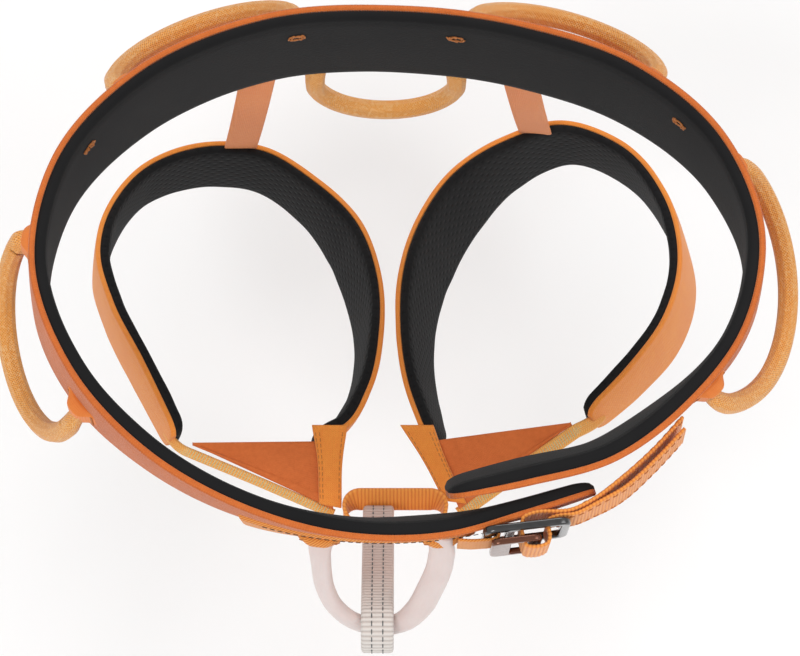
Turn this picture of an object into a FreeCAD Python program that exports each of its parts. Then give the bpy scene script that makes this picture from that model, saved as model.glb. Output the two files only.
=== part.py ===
"""Climbing harness: a padded waist belt, two thigh loops, tie-in loops, belay loop, buckle and gear loops.

Millimetres, +Z up, the wearer faces -Y and the wearer's left is +X.
The origin is the centre of the waist ring at the belt's mid-height.
"""
import FreeCAD, Part
import math
import os

import Sketcher

V = FreeCAD.Vector
UP = V(0, 0, 1)
doc = FreeCAD.newDocument("harness")

# ---------------------------------------------------------------- driving dimensions
SIZES = {
    "waist_shell_thick": 2.5,
    "waist_lining_thick": 4.5,
    "thigh_shell_thick": 2.2,
    "thigh_lining_thick": 3.8,
    "lining_skin": 1.2,
    "load_web_thick": 1.6,
    "anchor_thick": 1.2,
    "strap_width": 20.0,
    "strap_thick": 1.5,
    "riser_width": 15.0,
    "riser_thick": 1.4,
    "gear_tube_radius": 4.0,
    "gear_core_radius": 2.6,
    "right_side_loop_chord": 79.0,
    "left_side_loop_chord": 98.0,
    "side_loop_depth": 41.0,
    "rear_loop_chord": 77.0,
    "rear_loop_depth": 32.5,
    "haul_loop_chord": 60.0,
    "haul_loop_depth": 29.0,
    "tie_in_chord": 47.0,
    "tie_in_depth": 49.0,
    "tie_in_radius": 4.75,
    "tie_in_core_radius": 3.4,
    "belay_width": 13.0,
    "belay_thick": 3.0,
    "belay_centres": 62.0,
    "belay_mid_radius": 9.0,
    "bridge_width": 10.0,
    "bridge_thick": 1.8,
    "bridge_centres": 30.0,
    "bridge_mid_radius": 6.0,
    "buckle_long": 33.0,
    "buckle_tall": 28.0,
    "buckle_thick": 3.0,
    "buckle_bar": 3.5,
    "slider_long": 19.0,
    "slider_thick": 2.6,
    "panel_thick": 1.0,
    "tab_thick": 1.6,
    "hem_width": 5.0,
    "hem_thick": 2.2,
}
sheet = doc.addObject("Spreadsheet::Sheet", "Sizes")
for row, (word, value) in enumerate(SIZES.items(), start=1):
    sheet.set(f"A{row}", word)
    sheet.set(f"B{row}", str(value))
    sheet.setAlias(f"B{row}", word)
doc.recompute()


def size(word):
    """The number that a named cell of the sheet holds."""
    return float(getattr(sheet, word))


pieces = []


def keep(thing, label):
    """Names a finished piece and puts it on the list of pieces to write."""
    thing.Label = label
    pieces.append(thing)
    return thing


def feature(label, shape, placement=None):
    """A piece whose shape is worked out in code; its sizes come from the sheet."""
    thing = doc.addObject("Part::Feature", label)
    thing.Shape = shape
    thing.Placement = placement or FreeCAD.Placement()
    return keep(thing, label)


# ---------------------------------------------------------------- padded bands
# One row per station: x and y of the seam between shell and lining at the top rim, the rim's height,
# the band's height, how far its foot leans outward in degrees, and the share of the full thickness.
WAIST = [
    (22, -93, 18, 32, -22, 0.8),
    (51, -87, 19, 34, -23, 1),
    (83, -78, 20, 36, -20, 1),
    (111, -57, 22, 42, -14, 1),
    (133, -28, 25, 50, -2, 1),
    (140.5, 8, 29, 56, 6, 1),
    (127.5, 47, 32, 59, 6, 1),
    (96, 77, 33, 66, 7, 1),
    (51, 94.5, 33, 66, 7, 1),
    (0, 101.5, 33, 66, 7, 1),
    (-51, 97.5, 33, 66, 7, 1),
    (-98, 75.5, 33, 66, 7, 1),
    (-129, 38.5, 32, 62, 7, 1),
    (-136.5, -3, 28, 52, 6, 1),
    (-122, -42, 23, 42, 3, 1),
    (-93, -74, 19, 31, -2, 1),
    (-55, -96, 17, 28, -8, 1),
    (-15, -106.5, 15, 29, -18, 1),
    (22, -105, 12, 28, -20, 1),
    (50, -96.5, 11, 25, -12, 0.9),
    (77, -87.5, 10, 17, -10, 0.7),
]
RIGHT_THIGH = [
    (-31, -38, -80, 26, -4, 1),
    (-21, -33, -83, 30, -6, 1),
    (-11, -14, -90, 38, -3, 1),
    (-6, 15, -99, 44, -2, 1),
    (-7, 45, -110, 48, -5, 1),
    (-17, 76, -121, 50, -4, 1),
    (-36, 99, -130, 50, 2, 1),
    (-62, 117, -135, 50, 4, 1),
    (-87, 118, -134, 50, 4, 1),
    (-112, 106, -129, 50, 4, 1),
    (-127, 82, -121, 48, 1, 1),
    (-130, 58, -112, 44, 0, 1),
    (-122, 30, -103, 38, 0, 1),
    (-107, 0, -93, 30, 4, 1),
    (-90, -36, -82, 24, 4, 1),
]
LEFT_THIGH = [
    (81, -26, -84, 24, 6, 1),
    (100, -4, -90, 32, 6, 1),
    (117, 22, -100, 40, 6, 1),
    (126, 55, -112, 46, 6, 1),
    (122, 88, -122, 50, 4, 1),
    (104, 118, -132, 50, 4, 1),
    (78, 130, -136, 50, 5, 1),
    (50, 120, -133, 54, 1, 1),
    (28, 102, -126, 56, -6, 1),
    (12, 75, -118, 56, -8, 1),
    (4, 45, -108, 52, -8, 1),
    (3, 18, -100, 44, -8, 1),
    (6, -10, -90, 38, -8, 1),
    (14, -38, -79, 28, -6, 1),
]
THIGH_SPLAY = 0.15


class Band:
    """A strip that stands on edge along a smooth line through its stations."""

    def __init__(self, stations, sections, splay=0.0):
        self.rows = smooth(stations, sections)
        self.splay = splay
        self.frames = [self.frame(i) for i in range(sections)]

    def frame(self, i):
        """Rim point, the way down the band, the outward normal, height and thickness share."""
        row = self.rows[i]
        before = V(*self.rows[max(i - 1, 0)][:3])
        after = V(*self.rows[min(i + 1, len(self.rows) - 1)][:3])
        tangent = (after - before).normalize()
        outward = tangent.cross(UP).normalize()
        down = (V(self.splay, 0, -1) + outward * math.tan(math.radians(row[4]))).normalize()
        normal = down.cross(tangent).normalize()
        if normal.dot(outward) < 0:
            normal = normal * -1
        return V(*row[:3]), down, normal, row[3], row[5]

    def corner(self, i, offset, share):
        """A point at a whole-numbered section, offset outward, and down by a share of the height."""
        rim, down, normal, height, thick = self.frames[i]
        return rim + normal * (offset * thick) + down * (share * height)

    def point(self, place, offset, share):
        """The same at any place along the band, counted in sections, on its flat facets."""
        i = min(int(place), len(self.rows) - 2)
        start = self.corner(i, offset, share)
        end = self.corner(i + 1, offset, share)
        return start + (end - start) * (place - i)

    def places(self, first, last):
        """The places where a strip from first to last needs a section."""
        inner = [i for i in range(len(self.rows)) if first + 0.02 < i < last - 0.02]
        return [first] + inner + [last]

    def strip(self, profile, first=0, last=None):
        """A solid along the band; the profile is a closed list of (offset, height share) corners."""
        last = len(self.rows) - 1 if last is None else last
        wires = []
        for place in self.places(first, last):
            ring = [self.point(place, offset, share) for offset, share in profile]
            wires.append(Part.makePolygon(ring + ring[:1]))
        solid = Part.makeLoft(wires, True, True)
        return solid if solid.Volume > 0 else solid.reversed()

    def nearest(self, x, y):
        """The place along the band whose rim lies nearest to x, y."""
        target = V(x, y, 0)
        best = (1e9, 0.0)
        for step in range(10 * (len(self.rows) - 1) + 1):
            rim = self.point(step / 10, 0, 0)
            best = min(best, (V(rim.x, rim.y, 0).distanceToPoint(target), step / 10))
        return best[1]


def smooth(stations, count):
    """Even samples of the smooth curve that passes through every station."""
    at = [0.0]
    for a, b in zip(stations, stations[1:]):
        at.append(at[-1] + V(*a[:3]).distanceToPoint(V(*b[:3])))
    gaps = [b - a for a, b in zip(at, at[1:])]
    rates = [[(q - p) / gap for p, q in zip(a, b)] for a, b, gap in zip(stations, stations[1:], gaps)]
    slopes = [rates[0]]
    for i in range(1, len(stations) - 1):
        near, far = gaps[i - 1], gaps[i]
        slopes.append([(p * far + q * near) / (near + far) for p, q in zip(rates[i - 1], rates[i])])
    slopes.append(rates[-1])
    samples = []
    for n in range(count):
        along = at[-1] * n / (count - 1)
        i = max(k for k in range(len(gaps)) if at[k] <= along + 1e-9)
        u = (along - at[i]) / gaps[i]
        weights = (2 * u**3 - 3 * u**2 + 1, (u**3 - 2 * u**2 + u) * gaps[i],
                   3 * u**2 - 2 * u**3, (u**3 - u**2) * gaps[i])
        columns = zip(stations[i], slopes[i], stations[i + 1], slopes[i + 1])
        samples.append([sum(w * c for w, c in zip(weights, column)) for column in columns])
    return samples


def padded_band(name, band, shell, lining):
    """Outer shell, lining wrapped round a foam core, and the core itself."""
    skin = size("lining_skin")
    edge = 0.05
    feature(name + "_shell", band.strip([(0, 0), (shell, 0), (shell, 1), (0, 1)]))
    core = skin - lining
    wrap = [(0, 0), (0, edge), (core, edge), (core, 1 - edge), (0, 1 - edge), (0, 1),
            (-lining, 1), (-lining, 0)]
    feature(name + "_lining", band.strip(wrap))
    feature(name + "_foam", band.strip([(0, edge), (0, 1 - edge), (core, 1 - edge), (core, edge)]))


waist = Band(WAIST, 64)
right_thigh = Band(RIGHT_THIGH, 40, -THIGH_SPLAY)
left_thigh = Band(LEFT_THIGH, 40, THIGH_SPLAY)
padded_band("waist", waist, size("waist_shell_thick"), size("waist_lining_thick"))
for side, band in (("right", right_thigh), ("left", left_thigh)):
    padded_band(side + "_thigh", band, size("thigh_shell_thick"), size("thigh_lining_thick"))


# ---------------------------------------------------------------- sketch and body helpers
def new_body(name):
    return doc.addObject("PartDesign::Body", name)


def plane_of(body, role):
    return next(o for o in body.Origin.OriginFeatures if o.Role == role)


def sketch_on(body, role, name):
    sketch = body.newObject("Sketcher::SketchObject", name)
    sketch.AttachmentSupport = (plane_of(body, role), [""])
    sketch.MapMode = "FlatFace"
    return sketch


def bind(sketch, index, name, formula):
    """Names a sketch's dimension and ties it to the sheet."""
    sketch.renameConstraint(index, name)
    sketch.setExpression("Constraints." + name, formula)


def add_circle(sketch, x, radius_word):
    """A circle centred on the sketch's horizontal axis."""
    circle = sketch.addGeometry(Part.Circle(V(x, 0, 0), UP, size(radius_word)))
    sketch.addConstraint(Sketcher.Constraint("DistanceX", -1, 1, circle, 3, x))
    sketch.addConstraint(Sketcher.Constraint("PointOnObject", circle, 3, -1))
    radius = sketch.addConstraint(Sketcher.Constraint("Radius", circle, size(radius_word)))
    bind(sketch, radius, radius_word, "Sizes." + radius_word)


def add_rectangle(sketch, name, left, right, bottom, top):
    """A rectangle; each side is (value, formula) as its distance from the sketch's origin."""
    corners = [V(left[0], bottom[0], 0), V(right[0], bottom[0], 0),
               V(right[0], top[0], 0), V(left[0], top[0], 0)]
    lines = [sketch.addGeometry(Part.LineSegment(corners[i], corners[(i + 1) % 4])) for i in range(4)]
    for i in range(4):
        sketch.addConstraint(Sketcher.Constraint("Coincident", lines[i], 2, lines[(i + 1) % 4], 1))
    for i, way in enumerate(("Horizontal", "Vertical", "Horizontal", "Vertical")):
        sketch.addConstraint(Sketcher.Constraint(way, lines[i]))
    ties = (("DistanceX", 0, left, "_left"), ("DistanceX", 1, right, "_right"),
            ("DistanceY", 0, bottom, "_bottom"), ("DistanceY", 2, top, "_top"))
    for way, line, (value, formula), end in ties:
        index = sketch.addConstraint(Sketcher.Constraint(way, -1, 1, lines[line], 1, value))
        bind(sketch, index, name + end, formula)


def add_stadium(sketch, name, centres, radius, centres_formula, radius_formula):
    """A slot outline along the sketch's horizontal axis, centred on its origin."""
    half = centres / 2
    left = sketch.addGeometry(
        Part.ArcOfCircle(Part.Circle(V(-half, 0, 0), UP, radius), math.pi / 2, 1.5 * math.pi))
    low = sketch.addGeometry(Part.LineSegment(V(-half, -radius, 0), V(half, -radius, 0)))
    right = sketch.addGeometry(
        Part.ArcOfCircle(Part.Circle(V(half, 0, 0), UP, radius), -math.pi / 2, math.pi / 2))
    high = sketch.addGeometry(Part.LineSegment(V(half, radius, 0), V(-half, radius, 0)))
    sketch.addConstraint(Sketcher.Constraint("Tangent", left, 2, low, 1))
    sketch.addConstraint(Sketcher.Constraint("Tangent", low, 2, right, 1))
    sketch.addConstraint(Sketcher.Constraint("Tangent", right, 2, high, 1))
    sketch.addConstraint(Sketcher.Constraint("Tangent", high, 2, left, 1))
    sketch.addConstraint(Sketcher.Constraint("Horizontal", low))
    sketch.addConstraint(Sketcher.Constraint("Symmetric", left, 3, right, 3, -1, 1))
    span = sketch.addConstraint(Sketcher.Constraint("DistanceX", left, 3, right, 3, centres))
    bind(sketch, span, name + "_centres", centres_formula)
    bend = sketch.addConstraint(Sketcher.Constraint("Radius", left, radius))
    bind(sketch, bend, name + "_radius", radius_formula)


def minus(side):
    """The same distance on the other side of the origin."""
    return -side[0], "-(" + side[1] + ")"


def pad(body, sketch, formula, symmetric=False):
    extrusion = body.newObject("PartDesign::Pad", sketch.Name + "Pad")
    extrusion.Profile = sketch
    extrusion.setExpression("Length", formula)
    extrusion.Midplane = symmetric
    return extrusion


def frame_from(origin, along, outward):
    """A Placement whose X runs along and whose Y points outward."""
    x = V(along).normalize()
    z = x.cross(outward).normalize()
    y = z.cross(x)
    return FreeCAD.Placement(FreeCAD.Matrix(
        x.x, y.x, z.x, origin.x, x.y, y.y, z.y, origin.y, x.z, y.z, z.z, origin.z, 0, 0, 0, 1))


# ---------------------------------------------------------------- loops of tube
def arch_path(body, name, chord, depth, side, leg, chord_formula):
    """An arch of straight legs, two side bends and a wide crown, from chord end to chord end."""
    half = chord / 2
    crown = depth - leg
    drop = ((half - side) ** 2 - (crown - side) ** 2) / (2 * (crown - side))
    radius = crown + drop
    lean = math.atan2(drop, half - side)
    sketch = sketch_on(body, "XY_Plane", name)
    rise = sketch.addGeometry(Part.LineSegment(V(-half, 0, 0), V(-half, leg, 0)))
    first = sketch.addGeometry(Part.ArcOfCircle(
        Part.Circle(V(side - half, leg, 0), UP, side), math.pi - lean, math.pi))
    middle = sketch.addGeometry(Part.ArcOfCircle(
        Part.Circle(V(0, leg - drop, 0), UP, radius), lean, math.pi - lean))
    last = sketch.addGeometry(Part.ArcOfCircle(
        Part.Circle(V(half - side, leg, 0), UP, side), 0, lean))
    fall = sketch.addGeometry(Part.LineSegment(V(half, leg, 0), V(half, 0, 0)))
    sketch.addConstraint(Sketcher.Constraint("Coincident", rise, 2, first, 2))
    sketch.addConstraint(Sketcher.Constraint("Coincident", first, 1, middle, 2))
    sketch.addConstraint(Sketcher.Constraint("Coincident", middle, 1, last, 2))
    sketch.addConstraint(Sketcher.Constraint("Coincident", last, 1, fall, 1))
    span = sketch.addConstraint(Sketcher.Constraint("DistanceX", rise, 1, fall, 2, chord))
    bind(sketch, span, "chord", chord_formula)
    return sketch


def tube_loop(sheath, core, chord_word, depth_word, bends, outer_word, inner_word, placement):
    """A loop of tube: the sheath is a hollow pipe and the core fills it; bends are side radius and leg."""
    chord = size(chord_word)
    for label, radii in ((sheath, (outer_word, inner_word)), (core, (inner_word,))):
        body = new_body(label)
        path = arch_path(body, label + "Path", chord, size(depth_word), *bends, "Sizes." + chord_word)
        profile = sketch_on(body, "XZ_Plane", label + "Ring")
        for word in radii:
            add_circle(profile, -chord / 2, word)
        doc.recompute()
        pipe = body.newObject("PartDesign::AdditivePipe", label + "Pipe")
        pipe.Profile = profile
        pipe.Spine = (path, [])
        body.Placement = placement
        keep(body, label)


GEAR_STANDOFF = 6.2


def on_shell(x, y, share):
    """A point just clear of the belt's outer face, and the outward normal there."""
    place = waist.nearest(x, y)
    normal = waist.frames[round(place)][2]
    return waist.point(place, size("waist_shell_thick") + GEAR_STANDOFF, share), normal


def gear_loop(name, loop):
    """A preformed tube loop sewn at two ends; tilt is degrees out from hanging straight down."""
    (a, normal_a), (b, normal_b) = (on_shell(x, y, loop["share"]) for x, y in loop["ends"])
    level = V(b.x - a.x, b.y - a.y, 0)
    middle = (a + b) * 0.5
    outward = V(normal_a.x + normal_b.x, normal_a.y + normal_b.y, 0).normalize()
    angle = math.radians(loop["tilt"])
    reach = outward * math.sin(angle) - UP * math.cos(angle)
    print(name, "hinge at", tuple(middle), "chord ends apart", round(level.Length, 1))
    print(name, "hinge axis", tuple(V(level).normalize() * -1))
    tube_loop(name + "_sheath", name + "_core", loop["chord"], loop["depth"], loop["bends"],
              "gear_tube_radius", "gear_core_radius", frame_from(middle, level, reach))


# Where each loop's ends meet the belt (x, y), how far down the belt, its tilt, its two driving
# dimensions, and the radius of its side bends with the length of its straight legs.
GEAR_LOOPS = {
    "right_side_gear_loop": dict(ends=((-135.6, 16.6), (-116.7, -49.8)), share=0.72, tilt=26,
                                 chord="right_side_loop_chord", depth="side_loop_depth", bends=(17, 2)),
    "left_side_gear_loop": dict(ends=((121.4, -45.7), (130.5, 41.9)), share=0.55, tilt=41,
                                chord="left_side_loop_chord", depth="side_loop_depth", bends=(18, 2)),
    "right_rear_gear_loop": dict(ends=((-39.5, 100), (-102, 72.3)), share=0.4, tilt=46,
                                 chord="rear_loop_chord", depth="rear_loop_depth", bends=(18, 2)),
    "left_rear_gear_loop": dict(ends=((100.1, 74.2), (31, 98.7)), share=0.4, tilt=46,
                                chord="rear_loop_chord", depth="rear_loop_depth", bends=(18, 2)),
}
for name, loop in GEAR_LOOPS.items():
    gear_loop(name, loop)

HAUL_CENTRE = V(-3, 106, -40)
HAUL_BENDS = (17, 4)
tube_loop("haul_loop_sheath", "haul_loop_core", "haul_loop_chord", "haul_loop_depth", HAUL_BENDS,
          "gear_tube_radius", "gear_core_radius", frame_from(HAUL_CENTRE, V(1, 0, 0), V(0, 0, -1)))

# ---------------------------------------------------------------- anchors and sewn webbing on the belt
ANCHOR_HALF_LONG = 0.5
ANCHOR_HALF_TALL = 0.12
shell = size("waist_shell_thick")
anchors = []
for loop in GEAR_LOOPS.values():
    for x, y in loop["ends"]:
        place = waist.nearest(x, y)
        outer = shell + size("anchor_thick")
        high = loop["share"] - ANCHOR_HALF_TALL
        low = loop["share"] + ANCHOR_HALF_TALL
        anchors.append(waist.strip([(shell, high), (outer, high), (outer, low), (shell, low)],
                                   place - ANCHOR_HALF_LONG, place + ANCHOR_HALF_LONG))
feature("gear_loop_anchors", Part.makeCompound(anchors))

web = shell + size("load_web_thick")
feature("waist_load_webbing", waist.strip(
    [(shell, 0.5), (web, 0.5), (web, 1.1), (shell, 1.1)], waist.nearest(-58, -95), waist.nearest(30, -103)))

TACK_DEPTH = 0.8
TACK_TALL = 0.08
TACK_HALF_LONG = 0.3
lining = size("waist_lining_thick")
tacks = []
for x, y, share in ((-38, 97, 0.2), (25, 97, 0.2), (-119, 48, 0.2), (113, 59, 0.2)):
    place = waist.nearest(x, y)
    tacks.append(waist.strip(
        [(-lining, share), (-lining, share + TACK_TALL), (-lining - TACK_DEPTH, share + TACK_TALL),
         (-lining - TACK_DEPTH, share)], place - TACK_HALF_LONG, place + TACK_HALF_LONG))
feature("waist_bartacks", Part.makeCompound(tacks))

# ---------------------------------------------------------------- tie-in loop and belay loop
TIE_IN_CENTRE = V(-4.3, -106, -14.5)
TIE_IN_FOOT = V(-4.3, -124.8, -59.8)
TIE_IN_BENDS = (18, 26)
tube_loop("upper_tie_in_sleeve", "upper_tie_in_webbing", "tie_in_chord", "tie_in_depth", TIE_IN_BENDS,
          "tie_in_radius", "tie_in_core_radius",
          frame_from(TIE_IN_CENTRE, V(1, 0, 0), TIE_IN_FOOT - TIE_IN_CENTRE))

# The tabs are short folds of load webbing that the tie-in loop's two ends are sewn into.
FOLD_TOP = 0.62
FOLD_FOOT = 1.0
FOLD_HALF_LONG = 0.45
fold = web + size("load_web_thick")
tabs = []
for x in (-27.8, 19.2):
    place = waist.nearest(x, -104)
    tabs.append(waist.strip([(web, FOLD_TOP), (fold, FOLD_TOP), (fold, FOLD_FOOT), (web, FOLD_FOOT)],
                            place - FOLD_HALF_LONG, place + FOLD_HALF_LONG))
feature("tie_in_tabs", Part.makeCompound(tabs))


def webbing_ring(name, prefix, width_word, placement):
    """A closed flat loop of webbing: a stadium-shaped ring as wide as the webbing."""
    body = new_body(name)
    sketch = sketch_on(body, "XY_Plane", name + "Outline")
    centres = size(prefix + "_centres")
    middle = size(prefix + "_mid_radius")
    half = size(prefix + "_thick") / 2
    for ring, sign in (("outer", 1), ("inner", -1)):
        formula = f"Sizes.{prefix}_mid_radius {'+' if sign > 0 else '-'} Sizes.{prefix}_thick / 2"
        add_stadium(sketch, ring, centres, middle + sign * half, f"Sizes.{prefix}_centres", formula)
    pad(body, sketch, "Sizes." + width_word, symmetric=True)
    body.Placement = placement
    keep(body, name)


BELAY_REAR = V(-6, -75.2, -97)
BELAY_FRONT = TIE_IN_FOOT + V(-1.7, 0, 0)
webbing_ring("belay_loop", "belay", "belay_width", frame_from(
    (BELAY_FRONT + BELAY_REAR) * 0.5, BELAY_FRONT - BELAY_REAR, V(0, 0.5, 1)))
BRIDGE_CENTRE = V(1, -68, -95)
webbing_ring("leg_bridge_webbing", "bridge", "bridge_width", frame_from(
    BRIDGE_CENTRE, V(1, 0, 0), V(0, 1, 0)))

# ---------------------------------------------------------------- buckle and adjustment strap
# The buckle's plane leans with the belt: its X runs along the belt, its Y up and its Z outward.
BUCKLE_CENTRE = V(50.5, -102.4, 1)
BUCKLE_TURN = 7.0
BUCKLE_LEAN = 12.0
turn = math.radians(BUCKLE_TURN)
lean = math.radians(BUCKLE_LEAN)
buckle_along = V(math.cos(turn), math.sin(turn), 0)
buckle_out = V(math.sin(turn), -math.cos(turn), 0)
buckle_up = (UP * math.cos(lean) + buckle_out * math.sin(lean)).normalize()
buckle_frame = frame_from(BUCKLE_CENTRE, buckle_along, buckle_up)

ANCHOR_SLOT = 5.0
FRAME_CORNER = 4.0
body = new_body("buckle_frame")
outline = sketch_on(body, "XY_Plane", "FrameOutline")
long_half = (size("buckle_long") / 2, "Sizes.buckle_long / 2")
tall_half = (size("buckle_tall") / 2, "Sizes.buckle_tall / 2")
add_rectangle(outline, "frame", minus(long_half), long_half, minus(tall_half), tall_half)
doc.recompute()
plate = pad(body, outline, "Sizes.buckle_thick", symmetric=True)
doc.recompute()
slots = sketch_on(body, "XY_Plane", "FrameSlots")
slot_top = (size("buckle_tall") / 2 - size("buckle_bar"), "Sizes.buckle_tall / 2 - Sizes.buckle_bar")
slot_left = (-size("buckle_long") / 2 + size("buckle_bar"), "-Sizes.buckle_long / 2 + Sizes.buckle_bar")
slot_right = (size("buckle_long") / 2 - size("buckle_bar"), "Sizes.buckle_long / 2 - Sizes.buckle_bar")
bar_left = (slot_left[0] + ANCHOR_SLOT, f"{slot_left[1]} + {ANCHOR_SLOT}")
bar_right = (bar_left[0] + size("buckle_bar"), bar_left[1] + " + Sizes.buckle_bar")
add_rectangle(slots, "anchor_slot", slot_left, bar_left, minus(slot_top), slot_top)
add_rectangle(slots, "strap_slot", bar_right, slot_right, minus(slot_top), slot_top)
cut = body.newObject("PartDesign::Pocket", "FrameSlotsCut")
cut.Profile = slots
cut.Type = 1
cut.Midplane = True
doc.recompute()
print("buckle frame", round(plate.Shape.Volume), "->", round(cut.Shape.Volume))
corners = [f"Edge{i + 1}" for i, edge in enumerate(cut.Shape.Edges)
           if abs(abs(edge.CenterOfMass.x) - long_half[0]) < 0.01
           and abs(abs(edge.CenterOfMass.y) - tall_half[0]) < 0.01]
rounding = body.newObject("PartDesign::Fillet", "FrameCorners")
rounding.Base = (cut, corners)
rounding.Radius = FRAME_CORNER
body.Placement = buckle_frame
keep(body, "buckle_frame")

SLIDER_BACK = 3.4
SLIDER_LEFT = -14.0
SLIDER_HALF_TALL = 12.5
SLIDER_SLOT_HALF_TALL = 11.0
SLIDER_LEFT_BAR = 7.5
SLIDER_RIGHT_BAR = 5.0
SLIDER_CORNER = 3.0
body = new_body("buckle_slider")
outline = sketch_on(body, "XY_Plane", "SliderOutline")
slider_right = (SLIDER_LEFT + size("slider_long"), f"{SLIDER_LEFT} + Sizes.slider_long")
slider_top = (SLIDER_HALF_TALL, str(SLIDER_HALF_TALL))
gap_left = (SLIDER_LEFT + SLIDER_LEFT_BAR, str(SLIDER_LEFT + SLIDER_LEFT_BAR))
gap_right = (slider_right[0] - SLIDER_RIGHT_BAR, f"{slider_right[1]} - {SLIDER_RIGHT_BAR}")
gap_top = (SLIDER_SLOT_HALF_TALL, str(SLIDER_SLOT_HALF_TALL))
add_rectangle(outline, "slider", (SLIDER_LEFT, str(SLIDER_LEFT)), slider_right, minus(slider_top), slider_top)
add_rectangle(outline, "slider_slot", gap_left, gap_right, minus(gap_top), gap_top)
plate = pad(body, outline, "Sizes.slider_thick")
doc.recompute()
corners = [f"Edge{i + 1}" for i, edge in enumerate(plate.Shape.Edges)
           if abs(abs(edge.CenterOfMass.y) - SLIDER_HALF_TALL) < 0.01
           and abs(edge.CenterOfMass.z - size("slider_thick") / 2) < 0.01]
rounding = body.newObject("PartDesign::Fillet", "SliderCorners")
rounding.Base = (plate, corners)
rounding.Radius = SLIDER_CORNER
body.Placement = buckle_frame.multiply(FreeCAD.Placement(V(0, 0, SLIDER_BACK), FreeCAD.Rotation()))
keep(body, "buckle_slider")


def ribbon(route, thick, low, high):
    """Webbing bent along a route of (x, z) points, as wide as low to high along Y."""
    left = []
    right = []
    for i, (x, z) in enumerate(route):
        a = route[max(i - 1, 0)]
        b = route[min(i + 1, len(route) - 1)]
        here = (x, z)
        ways = []
        for p, q in ((a, here), (here, b)):
            length = math.hypot(q[0] - p[0], q[1] - p[1])
            if length > 0:
                ways.append(((q[0] - p[0]) / length, (q[1] - p[1]) / length))
        mx = sum(w[0] for w in ways) / len(ways)
        mz = sum(w[1] for w in ways) / len(ways)
        stretch = thick / 2 / (mx * mx + mz * mz)
        left.append(V(x - mz * stretch, low, z + mx * stretch))
        right.append(V(x + mz * stretch, low, z - mx * stretch))
    ring = left + right[::-1]
    face = Part.Face(Part.makePolygon(ring + ring[:1]))
    solid = face.extrude(V(0, high - low, 0))
    return solid if solid.Volume > 0 else solid.reversed()


strap_half = size("strap_width") / 2
# From the belt, behind the frame, out through both plates, round the slider's bar and back to the belt.
STRAP_ROUTE = [
    (65, -34.5), (52, -23.4), (38, -13.6), (28, -7.8), (19, -4.7), (1, -4.7), (-0.7, -4.0),
    (-1.4, -2.4), (-1.4, 5.4), (-0.9, 6.9), (1, 7.5), (5.2, 7.5), (7.2, 6.7), (8.1, 4.8),
    (8.2, -0.6), (9.0, -2.2), (11, -2.8), (19, -2.8), (28, -5.6), (38, -11.2), (52, -21),
    (65, -32)]
feature("adjustment_strap", ribbon(STRAP_ROUTE, size("strap_thick"), -strap_half, strap_half),
        buckle_frame)
# A fold of webbing round the frame's left bar, sewn to the belt; its foot and top along the buckle's Y.
ANCHOR_FOOT = -10
ANCHOR_TOP = 6
ANCHOR_ROUTE = [
    (-26, 1.0), (-20, 2.0), (-17, 2.15), (-12.6, 2.15), (-11.1, 1.7), (-10.4, 0.6), (-10.4, -0.9),
    (-11.1, -1.9), (-12.6, -2.25), (-15.6, -2.25)]
feature("buckle_anchor_webbing", ribbon(ANCHOR_ROUTE, size("anchor_thick"), ANCHOR_FOOT, ANCHOR_TOP),
        buckle_frame)

# ---------------------------------------------------------------- thigh loop fronts and risers
def plate_between(corners, thick, lift):
    """A flat sheet through the first three corners, lifted off their plane by a distance."""
    normal = (corners[1] - corners[0]).cross(corners[2] - corners[0]).normalize()
    if normal.z < 0:
        normal = normal * -1
    ring = [c - normal * ((c - corners[0]).dot(normal)) + normal * lift for c in corners]
    return Part.Face(Part.makePolygon(ring + ring[:1])).extrude(normal * thick)


def straight_strap(label, start, end, across, width_word, thick_word):
    """A box of webbing from start to end; across is the way its width runs."""
    box = doc.addObject("Part::Box", label)
    run = end - start
    box.Length = run.Length
    box.setExpression("Width", "Sizes." + width_word)
    box.setExpression("Height", "Sizes." + thick_word)
    place = frame_from(start, run, across)
    half = V(0, -size(width_word) / 2, -size(thick_word) / 2)
    box.Placement = place.multiply(FreeCAD.Placement(half, FreeCAD.Rotation()))
    keep(box, label)


# The panel's outer corner, inner corner and foot at the tie-in, then the tab's corners.
FRONTS = {
    "right": ((V(-86, -39.5, -88), V(-31, -39.5, -86), V(-25, -66, -97)),
              (V(-34, -39.5, -86), V(-19, -39.5, -86), V(-21.6, -66, -97), V(-31, -64, -97))),
    "left": ((V(77, -30, -89), V(15, -39.5, -86), V(28, -66, -97)),
             (V(17, -39.5, -86), V(3, -39.5, -86), V(21.5, -58.5, -94), V(24.2, -66, -97),
              V(32, -63, -97))),
}
TAB_LIFT = 0.1
HEM_OUT = V(0, -4, -1.2)
HEM_DROP = V(0, -1.5, -2.4)
for side, (panel, tab) in FRONTS.items():
    panel_thick = size("panel_thick")
    feature(side + "_stretch_panel", plate_between(panel, panel_thick, 0))
    feature(side + "_front_tab", plate_between(tab, size("tab_thick"), panel_thick + TAB_LIFT))
    straight_strap(side + "_hem_webbing", panel[0] + HEM_OUT, panel[2] + HEM_DROP, UP,
                   "hem_width", "hem_thick")
straight_strap("right_riser", V(-57, 103.2, -34), V(-70, 117.5, -132.2), V(1, 0, 0.1),
               "riser_width", "riser_thick")
straight_strap("left_riser", V(53, 106.5, -34), V(65, 125, -132.2), V(1, 0, -0.1),
               "riser_width", "riser_thick")

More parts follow.
